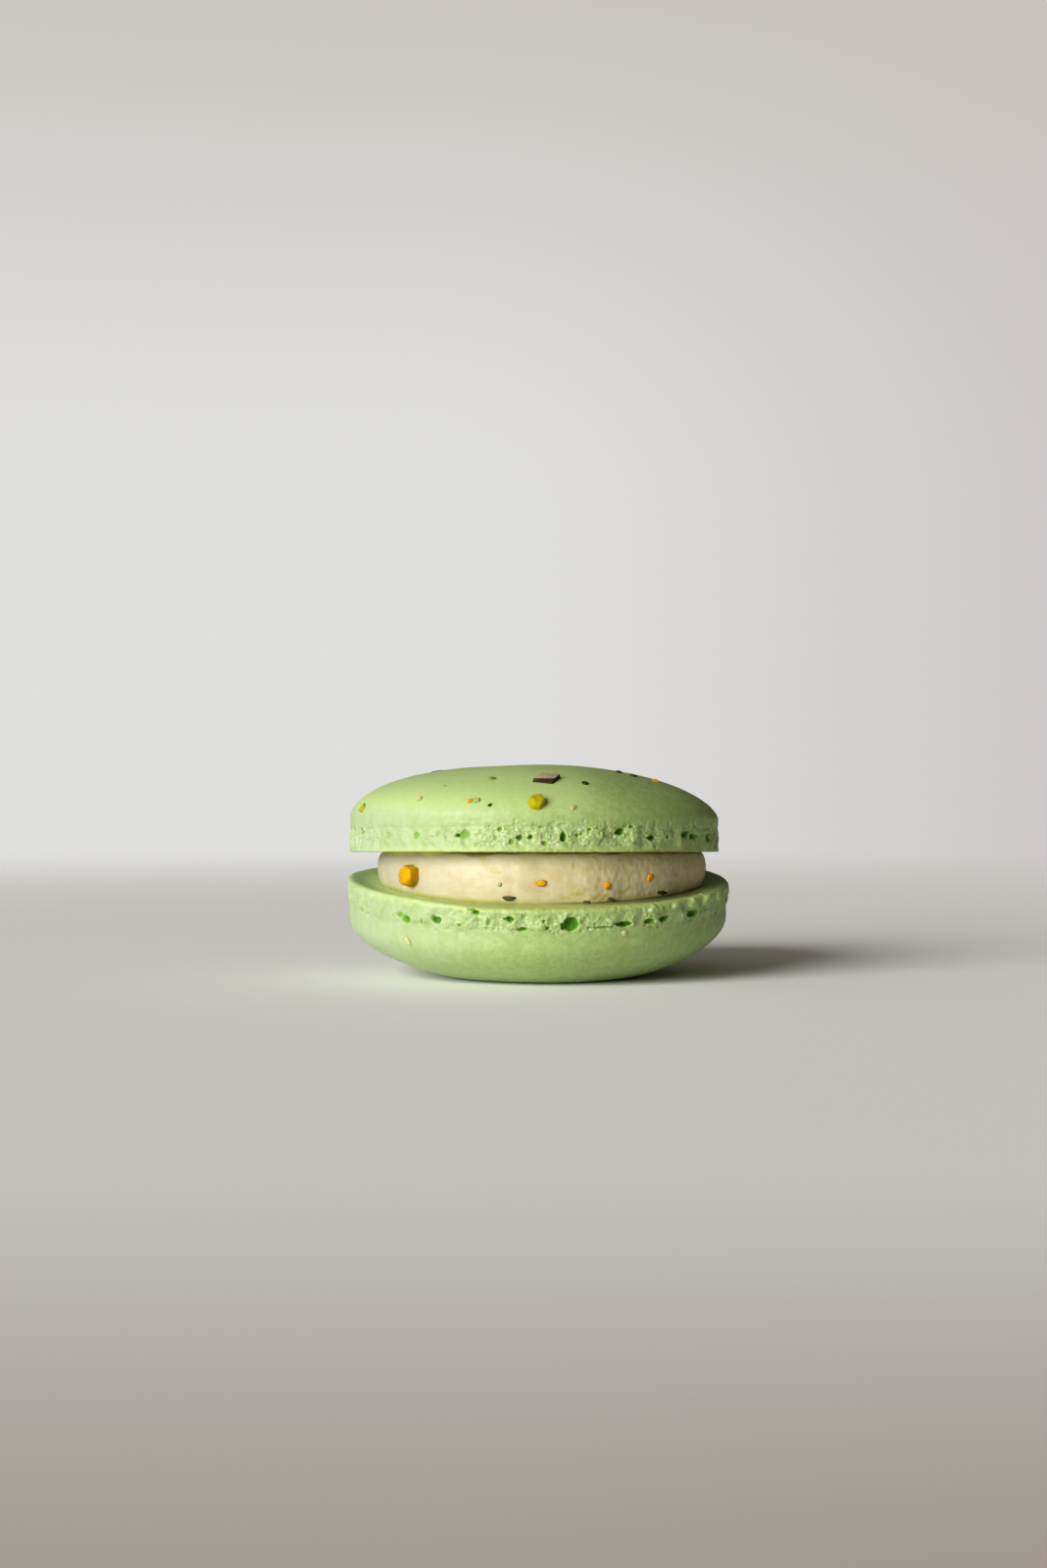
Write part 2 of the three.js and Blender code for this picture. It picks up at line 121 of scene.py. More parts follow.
UPPER = Shell(
    node="upper_shell",
    base_height=14.32,
    lean=-1.7,
    across=-0.3,
    crown_down=False,
    foot_radius=21.6,
    foot_height=2.75,
    lip=0.2,
    skirt=0.5,
    dome_radius=21.65,
    shoulder=3.9,
    crown=10.2,
    crown_power=2.35,
    side_power=1.76,
    crown_shift=-1.2,
    lopside=0.02,
    curl=0.0,
    seed=3.7,
    flakes_by_rule=20,
    froth=((-62, 0.15), (-35, 0.2), (-20, 0.6), (-8, 1), (34, 1), (48, 0.5), (62, 0.4)),
    hollows=(
        Spot(-50, 0.69, 1.1, 0.8, 0.25),
        Spot(-37.5, 0.68, 0.9, 0.7, 0.4),
        Spot(-21.2, 0.7, 1.6, 0.9, 0.45),
        Spot(-23.2, 0.66, 0.6, 0.5, 0.9),
        Spot(-10.5, 0.9, 0.6, 0.5, 0.5),
        Spot(-7, 0.37, 0.65, 0.65, 0.4),
        Spot(-4.7, 0.57, 0.7, 0.6, 0.7),
        Spot(-1.5, 0.59, 0.5, 0.55, 0.7),
        Spot(1.5, 0.98, 0.8, 0.25, 0.5),
        Spot(2.5, 0.33, 0.55, 0.55, 0.5),
        Spot(8, 0.57, 0.75, 1.05, 1.1),
        Spot(12.2, 0.66, 0.4, 0.4, 0.5),
        Spot(13.4, 0.72, 0.3, 0.35, 0.4),
        Spot(16, 0.9, 0.5, 0.3, 0.5),
        Spot(26, 0.8, 1.1, 0.85, 0.9),
        Spot(29.5, 1.02, 0.6, 0.3, 0.5),
        Spot(37, 0.57, 1.3, 0.65, 1.0),
        Spot(43.5, 0.62, 0.5, 0.4, 0.5),
        Spot(52, 0.72, 1.5, 0.8, 1.0),
        Spot(57, 0.64, 1.6, 0.7, 0.8),
    ),
    lumps=(
        Spot(18, 0.62, 2.6, 1.1, 0.16),
        Spot(30.5, 0.6, 1.6, 1.2, 0.14),
        Spot(4, 0.4, 1.8, 0.9, 0.1),
        Spot(-14, 0.55, 1.6, 1.2, 0.1),
    ),
    flakes=(
        Flake("cocoa", 7, 0.765, 3.3, 2.5, 0.8, 27, 1.0, 4, 1),
        Flake("petal", 1, 0.97, 1.8, 1.75, 1.2, 25, 0.05, 6, 2),
        Flake("petal", -19.3, 0.958, 0.8, 0.6, 0.45, 60, 0.7, 5),
        Flake("pistachio", -17.4, 0.956, 0.9, 0.8, 0.5, 20, 0.45, 5),
        Flake("pistachio", -37.5, 0.942, 0.9, 0.8, 0.4, 15, 0.75, 5),
        Flake("petal", -67, 0.98, 1.3, 1.0, 0.5, 80, 0.0, 5),
        Flake("cocoa", -13, 0.975, 0.55, 0.4, 0.35, 40),
        Flake("pistachio", -31.5, 0.835, 0.6, 0.5, 0.35, 0, 0.5, 5),
        Flake("pistachio", -14.5, 0.745, 1.0, 0.8, 0.4, 25, 0.1, 5),
        Flake("cocoa", 20.5, 0.819, 0.9, 0.7, 0.45, 5),
        Flake("pistachio", 11.5, 0.985, 0.8, 0.7, 0.35, 50, 0.85, 5),
        Flake("cocoa", 62, 0.564, 1.1, 0.7, 0.5, 70),
        Flake("cocoa", 59, 0.662, 0.9, 0.6, 0.5, 10),
        Flake("petal", 67, 0.745, 1.2, 0.8, 0.5, 20, 0.7),
    ),
)
LOWER = Shell(
    node="lower_shell",
    base_height=11.02,
    lean=5.65,
    across=0.0,
    crown_down=True,
    foot_radius=22.5,
    foot_height=2.35,
    lip=0.55,
    skirt=0.2,
    dome_radius=22.3,
    shoulder=4.1,
    crown=11.75,
    crown_power=1.95,
    side_power=1.88,
    crown_shift=-0.35,
    lopside=0.11,
    curl=0.5,
    seed=19.3,
    flakes_by_rule=8,
    froth=((-62, 0.2), (-38, 0.3), (-24, 0.6), (-8, 0.9), (12, 1), (30, 0.8), (50, 0.6), (62, 0.4)),
    hollows=(
        Spot(-41, 0.87, 1.4, 1.0, 0.7),
        Spot(-30, 0.75, 1.3, 0.75, 0.9),
        Spot(-22.5, 0.88, 0.5, 0.4, 0.4),
        Spot(-17.6, 0.23, 0.85, 0.5, 0.8),
        Spot(-14, 0.66, 0.5, 0.9, 0.4),
        Spot(-8, 0.49, 1.05, 0.6, 0.9),
        Spot(-4.2, 0.94, 1.05, 0.5, 0.7),
        Spot(-4, 0.36, 0.6, 0.55, 0.3),
        Spot(1.5, 0.57, 0.4, 0.35, 0.5),
        Spot(2.5, 0.9, 0.5, 0.4, 0.5),
        Spot(9, 0.72, 1.8, 1.6, 1.3),
        Spot(18.5, 0.94, 2.6, 0.3, 0.5),
        Spot(24.8, 0.85, 2.1, 0.6, 1.1),
        Spot(33, 0.82, 1.4, 0.6, 0.8),
        Spot(38, 0.78, 1.5, 0.7, 0.9),
        Spot(50.5, 0.76, 2.1, 0.8, 0.9),
        Spot(-35, 0.9, 0.4, 0.7, 0.4),
        Spot(-43, 0.75, 1.2, 0.6, 0.4),
        Spot(-18.9, 0.12, 0.9, 0.4, 0.45),
    ),
    lumps=(
        Spot(35, 0.3, 2.4, 1.1, 0.3),
        Spot(43, 0.28, 2.0, 1.0, 0.3),
        Spot(50, 0.25, 2.2, 1.1, 0.35),
        Spot(57.5, 0.25, 2.6, 1.2, 0.35),
        Spot(66, 0.25, 2.4, 1.0, 0.3),
    ),
    flakes=(
        Flake("pistachio", -40.5, 0.998, 1.0, 0.8, 0.35, 20, 0.95),
        Flake("pistachio", 25, 1.047, 0.9, 0.7, 0.4, 65, 1.0),
    ),
)

# Rules for what lies out of the front arc. Each pair is the range that the fixed scatter draws from.
NAMED_ARC = 62
HOLLOWS_BY_RULE = 30
HOLLOW_RISES = (0.4, 0.95)
HOLLOW_WIDTHS = (0.7, 2.1)
HOLLOW_HEIGHTS = (0.45, 1.1)
HOLLOW_DEPTHS = (0.3, 1.1)

# Small bubbles in the rims of the large ones, as shares of the large one's size and depth.
SATELLITES = 2
SATELLITE_SIZES = (0.3, 0.5)
SATELLITE_DEPTHS = (0.4, 0.8)

# The foot's small bubbles. Rises are the lowest, the highest and the commonest, and the widths, heights and
# depths are shares of a bubble's size.
FROTH_COUNT = 2100
FROTH_SIZES = (0.2, 0.6)
FROTH_RISES = (0.12, 1.3, 0.7)
FROTH_WIDTHS = (0.8, 1.6)
FROTH_HEIGHTS = (0.7, 1.0)
FROTH_DEPTHS = (0.15, 0.35)
FROTH_STRETCHES = 3
FROTH_SIDE_FADE = 12
FROTH_FADE = (-0.3, 0.9)

# Relief that both shells share. A wave is (size, span), and the curl starts and ends over an arc of angles.
FOOT_SKIRT = 0.1
FOOT_TUCK = 0.05
HEM_TUCK = 0.04
RUFFLE = (0.17, 0.5)
RUFFLE_START = 0.3
TUCK_START = 0.6
HEM_WAVE = (0.25, 1.6)
DOME_SWELL = (0.12, 3.4)
RIM_WAVE = 0.25
BASE_DENT = 0.05
CURL_WIDTH = 2.2
CURL_START = (-125, -85)
CURL_END = (-45, -12)
CREASE_DEPTH = 0.05
CREASE_WIDTH = 0.2
CREASE_SOFTNESS = 0.45
CREASE_BREAKS = 14
HOLLOW_SMOOTHINGS = 2
BUBBLE_RAGGEDNESS = 0.4
LUMP_RAGGEDNESS = 0.5
CARVED_SHARE = 0.75
DEEP_HOLLOW = 0.7
FOAM_CELLS = 2.7
FOAM_BEAD = 0.013
FOAM_PIT = 0.035
FOAM_PIT_SHARE = 0.3
PIT_SHADE = 0.33
GRAIN = 0.02
FROTH_GRAIN = 0.03
LIP_CRUMB = 0.06
# How far the painted shadow on the base reaches beyond the cream.
LEDGE_SHADOW_WIDTH = 1.4
FLOOR_SOFTNESS = 0.5

# Divisions. Fine rings have extra cuts in each of their segments.
SEGMENTS = 230
FINE_CUTS = 6
FROTH_STEP = 0.085
SKIN_STEP = 0.15
SKIN_START = 0.6
LIP_ROWS = 6
LIP_WIDTH = 0.5
RIM_WIDTH = 3.6
BASE_ROWS = (5, 10, 4)
DOME_ROWS = 46
CREAM_CUTS = 3
CREAM_ROWS = 44
CREAM_FLAT_ROWS = 8
MERGE_DISTANCE = 1e-4

# The buttercream fills the wedge between the bases and reaches a little into both.
CREAM_NODE = "filling"
CREAM_RADIUS = 19.3
CREAM_ACROSS = 0.45
CREAM_HEIGHT = 5.6
CREAM_TUCK = (0.4, 0.8)
CREAM_SEED = 31.1
CREAM_SMEAR = (0.22, 2.1)
CREAM_RIPPLE = (0.04, 0.55)
CREAM_SINK = 0.06
CREAM_ROUGH_START = (4, 20)
CREAM_ROUGH_END = (50, 75)
CREAM_ROUGH_BACK = (70, 90)
CREAM_ROUGH_RIM = 0.6
CREAM_EDGE = (0.1, 0.8)
CREAM_SEAM_ARC = (-4, 14)
CREAM_SEAM_KNOT = (-24, 4, 0.3)
# The arc where the cream's lower edge is coloured olive.
CREAM_OLIVE_EDGE_START = (-80, -60)
CREAM_OLIVE_EDGE_END = (-14, 2)
CREAM_FLAKE_ARC = (92, 118)
CREAM_FLAKES_BY_RULE = 4
CREAM_FLAKES = (
    Flake("petal", -49.5, 0.44, 2.7, 2.4, 1.9, -40, 0.6, 6, 1),
    Flake("pistachio", -14, 0.38, 0.6, 0.45, 0.4, 30, 0.5, 5),
    Flake("cocoa", -11, 0.12, 1.4, 0.5, 0.7, -11, 0.1),
    Flake("petal", -0.5, 0.41, 1.4, 0.75, 0.6, 5, 0.7, 5),
    Flake("cocoa", 14.7, 0.05, 0.8, 0.35, 0.35, 15, 0.2),
    Flake("cocoa", 23, 0.08, 0.9, 0.45, 0.35, 23, 0.2),
    Flake("petal", 21.5, 0.35, 0.9, 0.8, 0.6, 50, 1.0, 5),
    Flake("petal", 38.5, 0.46, 1.2, 0.8, 0.5, 85, 1.0),
    Flake("cocoa", 44.5, 0.1, 1.7, 0.45, 0.5, 38),
)
# Greenish smears in the cream, as (angle, rise, width, height).
CREAM_STAINS = (
    (-20.3, 0.9, 1.1, 1.2),
    (-19, 0.77, 1.2, 1.0),
    (-17, 0.66, 1.8, 0.7),
    (-14.8, 0.61, 1.3, 0.5),
    (11.5, 0.2, 2.0, 0.5),
    (14.5, 0.28, 1.0, 0.7),
    (20, 0.12, 3.2, 0.7),
    (27, 0.2, 1.2, 0.6),
    (7.5, 0.12, 1.3, 0.5),
    (17.5, 0.33, 0.6, 1.0),
    (24.5, 0.5, 0.5, 1.4),
    (10, 0.72, 0.5, 0.8),
)

# Chopped flakes. A slab's sizes are shares of the flake's length, width and thickness.
RULED_KINDS = ("petal", "cocoa", "pistachio", "petal", "pistachio")
SLAB_RADIUS = 0.56
SLAB_CORNERS = (0.84, 1.16)
SLAB_TAPER = 0.92
SLAB_DROP = 0.45
BREAK_SLOPES = (0.2, 0.9)
BREAK_REACHES = (0.4, 0.52)
FLAKE_SINK = 0.12
FLAKE_LIFT = 0.17
FLAKE_WEAR = 0.13
FLAKE_ROUGHNESS = 0.06
FLAKE_TOP = (0.44, 0.52)

# The whole macaron is moved so that the middle of its bounding box's base is the origin.
CENTRING = Vector((-0.0683, -0.0785, 0.0))


def lerp(low, high, share):
    return low + (high - low) * share


def smoothstep(value, low, high):
    share = min(1.0, max(0.0, (value - low) / (high - low)))
    return share * share * (3 - 2 * share)


def scatter(index, way):
    """A fixed share from 0 to 1 for what is placed by rule."""
    drawn = math.sin(12.9898 * (index + 1) + 78.233 * way) * 43758.5453
    return drawn - math.floor(drawn)


def swell(x, y, z, seed):
    """Smooth unevenness from -1 to 1, in steps of about three units."""
    return (
        0.45 * math.sin(x + 1.7 * math.sin(0.8 * y + seed))
        + 0.35 * math.sin(1.3 * y + 1.3 * math.sin(0.9 * z + 2 * seed))
        + 0.2 * math.sin(1.9 * x - 1.1 * y + 1.7 * z + 3 * seed)
    )


def relief(kind, radius, angle, z, seed):
    """The same unevenness on the skin of an upright drum."""
    size, span = kind
    x = math.sin(angle) * radius / span
    y = -math.cos(angle) * radius / span
    return size * swell(x, y, z / span, seed)


def rim_wave(angle, seed):
    """Slow waves that make a rim less than round."""
    return RIM_WAVE * (
        0.5 * math.sin(2 * angle + seed)
        + 0.3 * math.sin(3 * angle + 2.1 * seed)
        + 0.2 * math.sin(7 * angle + 3.3 * seed)
    )


def noise_round(angle, waves, seed):
    """Smooth noise from -1 to 1 round a rim, with that many waves for each radian."""
    return noise.noise(Vector((waves * math.sin(angle), waves * math.cos(angle), seed)))


def polar(angle, radius, z, across=0.0):
    """The point that far from the axis in the direction of the angle."""
    return Vector((across + math.sin(angle) * radius, -math.cos(angle) * radius, z))


def angle_of(point):
    return math.atan2(point.x, -point.y)


def radius_of(point):
    return math.hypot(point.x, point.y)


def face_outwards(bm):
    bmesh.ops.recalc_face_normals(bm, faces=bm.faces)


def float_layers(bm, names):
    """New layers of numbers at the vertices, by name, which the materials read as attributes."""
    return {name: bm.verts.layers.float.new(name) for name in names}


# Shells.
def curl_height(shell, angle, radius, height):
    """How far the rim curls off the base's plane there, over an arc to the left of the front."""
    turn = math.degrees(angle)
    arc = smoothstep(turn, *CURL_START) * (1 - smoothstep(turn, *CURL_END))
    rim = smoothstep(radius, shell.foot_radius - CURL_WIDTH, shell.foot_radius)
    return shell.curl * arc * rim * max(0.0, 1 - height / shell.foot_height)


def hem_line(shell, angle):
    """The height of the crease between the foot and the dome."""
    return shell.foot_height + 0.5 * relief(HEM_WAVE, shell.dome_radius, angle, 0, shell.seed)


def side_point(shell, angle, height):
    """A point of the side under the shoulder: a skirt, the ruffled foot, a crease and the dome's hem."""
    wave = rim_wave(angle, shell.seed)
    share = height / shell.foot_height
    frill = smoothstep(share, 0, RUFFLE_START)
    short = max(0.0, 1 - height / shell.lip)
    foot = (
        shell.foot_radius
        + wave
        + FOOT_SKIRT * (1 - frill)
        - shell.lip * (1 - math.sqrt(1 - short * short))
        - FOOT_TUCK * smoothstep(share, TUCK_START, 1)
        + frill * relief(RUFFLE, shell.foot_radius, angle, height, shell.seed)
    )
    line = hem_line(shell, angle)
    hem = min(1.0, max(0.0, (height - line) / (shell.shoulder - line)))
    dome = shell.dome_radius + wave - HEM_TUCK * (1 - hem) ** 3
    radius = lerp(foot, dome, smoothstep(height, line - CREASE_SOFTNESS, line + CREASE_SOFTNESS))
    depth = CREASE_DEPTH * max(0.0, 0.7 + 0.9 * noise_round(angle, CREASE_BREAKS, shell.seed))
    radius -= depth * math.exp(-(((height - line) / CREASE_WIDTH) ** 2))
    return polar(angle, radius, height - curl_height(shell, angle, shell.foot_radius, height))


def dome_point(shell, angle, reach):
    """A point of the dome's skin. Reach 0 is the crown, and 1 the shoulder, where the side stands upright."""
    fall = max(0.0, 1 - reach**shell.crown_power)
    rise = fall ** (1 / shell.side_power)
    radius = reach * (shell.dome_radius + rim_wave(angle, shell.seed))
    tip = 1 + shell.lopside * math.sin(angle) * reach * (1 - reach * reach)
    lumps = relief(DOME_SWELL, reach * shell.dome_radius, angle, 0, shell.seed)
    height = (shell.crown - shell.shoulder) * tip + lumps
    return polar(angle, radius, shell.shoulder + height * rise, shell.crown_shift * rise)


def base_point(shell, angle, radius):
    """A point of the flat base, with faint dents that never stand out of it."""
    edge = side_point(shell, angle, 0)
    point = edge * (radius / shell.foot_radius)
    dent = noise.noise(Vector((0.9 * point.x, 0.9 * point.y, shell.seed)))
    point.z = BASE_DENT * max(0.0, dent) - curl_height(shell, angle, radius, 0)
    return point


def shell_point(shell, angle, radius, height):
    """Where a place of the even profile lies on the uneven shell."""
    if height >= shell.shoulder:
        return dome_point(shell, angle, min(1.0, radius / shell.dome_radius))
    if height > 0:
        return side_point(shell, angle, height)
    return base_point(shell, angle, radius)


def steps(start, end, count):
    return [lerp(start, end, index / count) for index in range(count)]


def shell_profile(shell):
    """Places from the middle of the base, out along it, up the side and over to the crown."""
    lip = shell.foot_radius - LIP_WIDTH
    stops = (0, lip - RIM_WIDTH, lip, shell.foot_radius)
    places = []
    for start, end, count in zip(stops, stops[1:], BASE_ROWS):
        places += [(radius, 0.0) for radius in steps(start, end, count)]
    heights = [shell.lip * (1 - math.cos(turn)) for turn in steps(0, math.pi / 2, LIP_ROWS)]
    skin = shell.foot_height + SKIN_START
    heights += steps(shell.lip, skin, round((skin - shell.lip) / FROTH_STEP))
    heights += steps(skin, shell.shoulder, round((shell.shoulder - skin) / SKIN_STEP))
    places += [(shell.foot_radius, height) for height in heights]
    for row in range(DOME_ROWS + 1):
        reach = math.cos(row / DOME_ROWS * math.pi / 2)
        rise = max(0.0, 1 - reach**shell.crown_power) ** (1 / shell.side_power)
        height = shell.shoulder + (shell.crown - shell.shoulder) * rise
        places.append((shell.dome_radius * max(0.0, reach), height))
    return places


def turned(places):
    """A bmesh with the profile's places spun once round Z, closed at the axis."""
    bm = bmesh.new()
    verts = [bm.verts.new((0, -radius, z)) for radius, z in places]
    edges = [bm.edges.new(pair) for pair in zip(verts, verts[1:])]
    bmesh.ops.spin(
        bm,
        geom=verts + edges,
        cent=(0, 0, 0),
        axis=(0, 0, 1),
        angle=math.tau,
        steps=SEGMENTS,
        use_merge=True,
    )
    bmesh.ops.remove_doubles(bm, verts=bm.verts, dist=MERGE_DISTANCE)
    face_outwards(bm)
    return bm


def ring_edges(bm, is_fine):
    """The edges that run round the axis through places where is_fine(radius, z) holds."""
    found = []
    for edge in bm.edges:
        a, b = (vert.co for vert in edge.verts)
        radius = math.hypot(a.x, a.y)
        level = abs(a.z - b.z) < 1e-5 and abs(radius - math.hypot(b.x, b.y)) < 1e-4
        if level and is_fine(radius, a.z):
            found.append(edge)
    return found


def refine(bm, is_fine, cuts):
    """Cuts the fine rings' segments, and leaves only triangles where they meet the coarse ones."""
    bmesh.ops.subdivide_edges(bm, edges=ring_edges(bm, is_fine), cuts=cuts, use_grid_fill=False)
    many = [face for face in bm.faces if len(face.verts) > 4]
    bmesh.ops.triangulate(bm, faces=many)


def place_all(bm, place):
    """Moves each vertex to place(angle, radius, z)."""
    for vert in bm.verts:
        x, y, z = vert.co
        vert.co = place(math.atan2(x, -y), math.hypot(x, y), z)


def ruled_angle(index, count, way):
    """An even row of angles over the arc that no named piece covers, each a little out of step."""
    step = (360 - 2 * NAMED_ARC) / count
    return NAMED_ARC + step * (index + 0.2 + 0.6 * scatter(index, way))


def ruled_hollows(shell):
    """The large bubbles at the sides and the back."""
    seed = shell.seed
    return [
        Spot(
            ruled_angle(index, HOLLOWS_BY_RULE, seed),
            lerp(*HOLLOW_RISES, scatter(index, seed + 1)),
            lerp(*HOLLOW_WIDTHS, scatter(index, seed + 2) ** 2),
            lerp(*HOLLOW_HEIGHTS, scatter(index, seed + 3)),
            lerp(*HOLLOW_DEPTHS, scatter(index, seed + 2)),
        )
        for index in range(HOLLOWS_BY_RULE)
    ]


def satellite(shell, hollow, draw):
    """A smaller bubble that broke into the rim of a large one."""
    way = draw.uniform(0, math.tau)
    size = draw.uniform(*SATELLITE_SIZES)
    shift = 0.5 * hollow.width * math.cos(way)
    return Spot(
        hollow.angle + math.degrees(shift / shell.foot_radius),
        hollow.rise + 0.45 * hollow.height * math.sin(way) / shell.foot_height,
        size * hollow.width,
        size * hollow.height,
        hollow.depth * draw.uniform(*SATELLITE_DEPTHS),
    )


def with_satellites(shell, hollows):
    """Each large bubble with the smaller ones that make its outline ragged."""
    draw = random.Random(shell.node + " satellites")
    found = []
    for hollow in hollows:
        found.append(hollow)
        found += [satellite(shell, hollow, draw) for _ in range(SATELLITES)]
    return found


def froth_amount(shell, angle):
    """How frothy the foot is there, from 0 to 1: by its knots in front, and in stretches elsewhere."""
    stretch = noise_round(angle, FROTH_STRETCHES, shell.seed)
    amount = min(1.0, max(0.5, 0.7 + 0.8 * stretch))
    turn = math.degrees(angle)
    for (low, low_amount), (high, high_amount) in zip(shell.froth, shell.froth[1:]):
        if low <= turn <= high:
            named = lerp(low_amount, high_amount, smoothstep(turn, low, high))
            return lerp(named, amount, smoothstep(abs(turn), NAMED_ARC - FROTH_SIDE_FADE, NAMED_ARC))
    return amount


def froth(shell):
    """Small bubbles all round the foot, thicker in some stretches than in others."""
    draw = random.Random(shell.node)
    bubbles = []
    while len(bubbles) < FROTH_COUNT:
        angle = draw.uniform(-180, 180)
        size = lerp(*FROTH_SIZES, draw.random() ** 4)
        bubble = Spot(
            angle,
            draw.triangular(*FROTH_RISES),
            size * draw.uniform(*FROTH_WIDTHS),
            size * draw.uniform(*FROTH_HEIGHTS),
            size * draw.uniform(*FROTH_DEPTHS),
        )
        if draw.random() < froth_amount(shell, math.radians(angle)) ** 2:
            bubbles.append(bubble)
    return bubbles


def vertex_tree(bm):
    bm.verts.ensure_lookup_table()
    bm.verts.index_update()
    tree = KDTree(len(bm.verts))
    for vert in bm.verts:
        tree.insert(vert.co, vert.index)
    tree.balance()
    return tree


def spot_shares(shell, tree, spot, raggedness):
    """The vertices that a spot covers, each with its share: 1 in the spot's middle, 0 at its rim."""
    turn = math.radians(spot.angle)
    centre = side_point(shell, turn, spot.rise * shell.foot_height)
    along = polar(turn + math.pi / 2, 1, 0)
    found = []
    for co, index, _ in tree.find_range(centre, 0.75 * max(spot.width, spot.height)):
        offset = co - centre
        away = (offset.dot(along) / spot.width * 2) ** 2 + (offset.z / spot.height * 2) ** 2
        ragged = noise.noise(co * 1.7) + 0.5 * noise.noise(co * 4.1)
        away += raggedness * ragged * min(1.0, away * 2)
        if away < 1:
            found.append((index, 1 - max(0.0, away)))
    return found


def hollow_depths(bm, shell, tree):
    """How deep the bubbles go at each vertex. Where bubbles meet, a sharp wall is left between them."""
    depths = [0.0] * len(bm.verts)
    large = with_satellites(shell, [*shell.hollows, *ruled_hollows(shell)])
    for bubbles, steepness in ((large, 0.45), (froth(shell), 0.5)):
        for bubble in bubbles:
            for index, share in spot_shares(shell, tree, bubble, BUBBLE_RAGGEDNESS):
                depths[index] = max(depths[index], bubble.depth * share**steepness)
    return depths


def lump_heights(bm, shell, tree):
    """How far the lumps of meringue stand out at each vertex."""
    heights = [0.0] * len(bm.verts)
    for lump in shell.lumps:
        for index, share in spot_shares(shell, tree, lump, LUMP_RAGGEDNESS):
            heights[index] = max(heights[index], lump.depth * smoothstep(share, 0, 0.8))
    return heights


def froth_share(shell, point):
    """1 on the frothy foot, 0 on the smooth skirt under it, with a long fade into the dome's skin."""
    start, end = (shell.foot_height + shift for shift in FROTH_FADE)
    low = smoothstep(point.z, 0.5 * shell.skirt, 1.6 * shell.skirt)
    return low * (1 - smoothstep(point.z, start, end)) * froth_amount(shell, angle_of(point))


def foam(point, share):
    """The crust's tiny bubbles: how far it stands out there, and how much of a bead or a pit it is."""
    cluster = smoothstep(noise.noise(point * 0.6), -0.25, 0.3)
    strength = smoothstep(share, 0.25, 0.8) * lerp(0.35, 1, cluster)
    near, cells = noise.voronoi(point * FOAM_CELLS)
    body = smoothstep(near[1] - near[0], 0, 0.5) * strength
    draw = 0.5 + 0.5 * noise.cell(cells[0] * 31)
    if draw < FOAM_PIT_SHARE:
        return -FOAM_PIT * body, 0.0, body
    return FOAM_BEAD * body, body * draw, 0.0


def lip_crumb(shell, point):
    """Crumbs along the edge of the base, from -1 to 1, where the foot over it is frothy."""
    out = smoothstep(radius_of(point), shell.foot_radius - 1.2, shell.foot_radius - 0.4)
    up = 1 - smoothstep(point.z, 0.1, 0.6)
    return out * up * froth_amount(shell, angle_of(point)) * noise.noise(point * 2.2)


def base_share(shell, point):
    """1 on the base and the skirt round it, a little less at the lip, and 0 on the foot above them."""
    out = smoothstep(radius_of(point), shell.foot_radius - 3, shell.foot_radius)
    lip = lerp(0.2, 0.6, smoothstep(point.x, -15, -4))
    return lerp(1, lip, out) * (1 - smoothstep(point.z, 0.1, 0.45 + 0.8 * shell.skirt))


def ledge_shadow_share(point):
    """Painted shadow: 1 on the base under the cream, fading to 0 in an uneven line out of it that is wider on
    the right.
    """
    edge = CREAM_RADIUS + LEDGE_SHADOW_WIDTH + 0.5 * noise.noise(point * 0.8) + 0.7 * smoothstep(point.x, 7, 13)
    out = smoothstep(radius_of(point), edge - 0.6, edge + 0.7)
    return (1 - out) * (1 - smoothstep(point.z, 0.1, 0.3))


def carve_vertex(vert, shell, layers, depth, lump):
    """Notes for the material what lies at a vertex, then moves it out by its grain and in by its bubble."""
    share = froth_share(shell, vert.co)
    rise, bead, pit = foam(vert.co, share) if share > 0 else (0.0, 0.0, 0.0)
    grain = GRAIN * noise.noise(vert.co * 0.9) + FROTH_GRAIN * share * noise.noise(vert.co * 2.6)
    grain += LIP_CRUMB * lip_crumb(shell, vert.co)
    vert[layers["hollow"]] = max(PIT_SHADE * pit, min(1.0, depth / DEEP_HOLLOW))
    vert[layers["froth"]] = share
    vert[layers["bead"]] = bead
    vert[layers["base"]] = base_share(shell, vert.co)
    # The share of painted shadow on the ledge by the cream.
    vert[layers["ledge_shadow"]] = ledge_shadow_share(vert.co)
    vert.co += vert.normal * (grain + rise + lump)
    vert.co -= polar(angle_of(vert.co), CARVED_SHARE * depth, 0)


def carve_foot(bm, shell):
    """Bursts the bubbles, foams what is left between them, and softens the deep ones' walls."""
    tree = vertex_tree(bm)
    depths = hollow_depths(bm, shell, tree)
    lumps = lump_heights(bm, shell, tree)
    layers = float_layers(bm, ("hollow", "froth", "bead", "base", "ledge_shadow"))
    bm.normal_update()
    for vert in bm.verts:
        carve_vertex(vert, shell, layers, depths[vert.index], lumps[vert.index])
    deep = [vert for vert in bm.verts if depths[vert.index] > 0.3]
    for _ in range(HOLLOW_SMOOTHINGS):
        bmesh.ops.smooth_vert(
            bm, verts=deep, factor=0.5, use_axis_x=True, use_axis_y=True, use_axis_z=True
        )


def shell_placement(shell):
    """The matrix from a shell's own frame to the macaron's."""
    turn = Matrix.Rotation(math.radians(shell.lean), 4, "X")
    flip = Matrix.Diagonal((1, 1, -1 if shell.crown_down else 1, 1))
    return Matrix.Translation((shell.across, 0, shell.base_height)) @ turn @ flip


def settle_on_floor(bm):
    """Flattens the crown against the floor, with a soft border to the flat."""
    for vert in bm.verts:
        height = vert.co.z
        if height < FLOOR_SOFTNESS:
            vert.co.z = max(0.0, height + FLOOR_SOFTNESS) ** 2 / (4 * FLOOR_SOFTNESS)


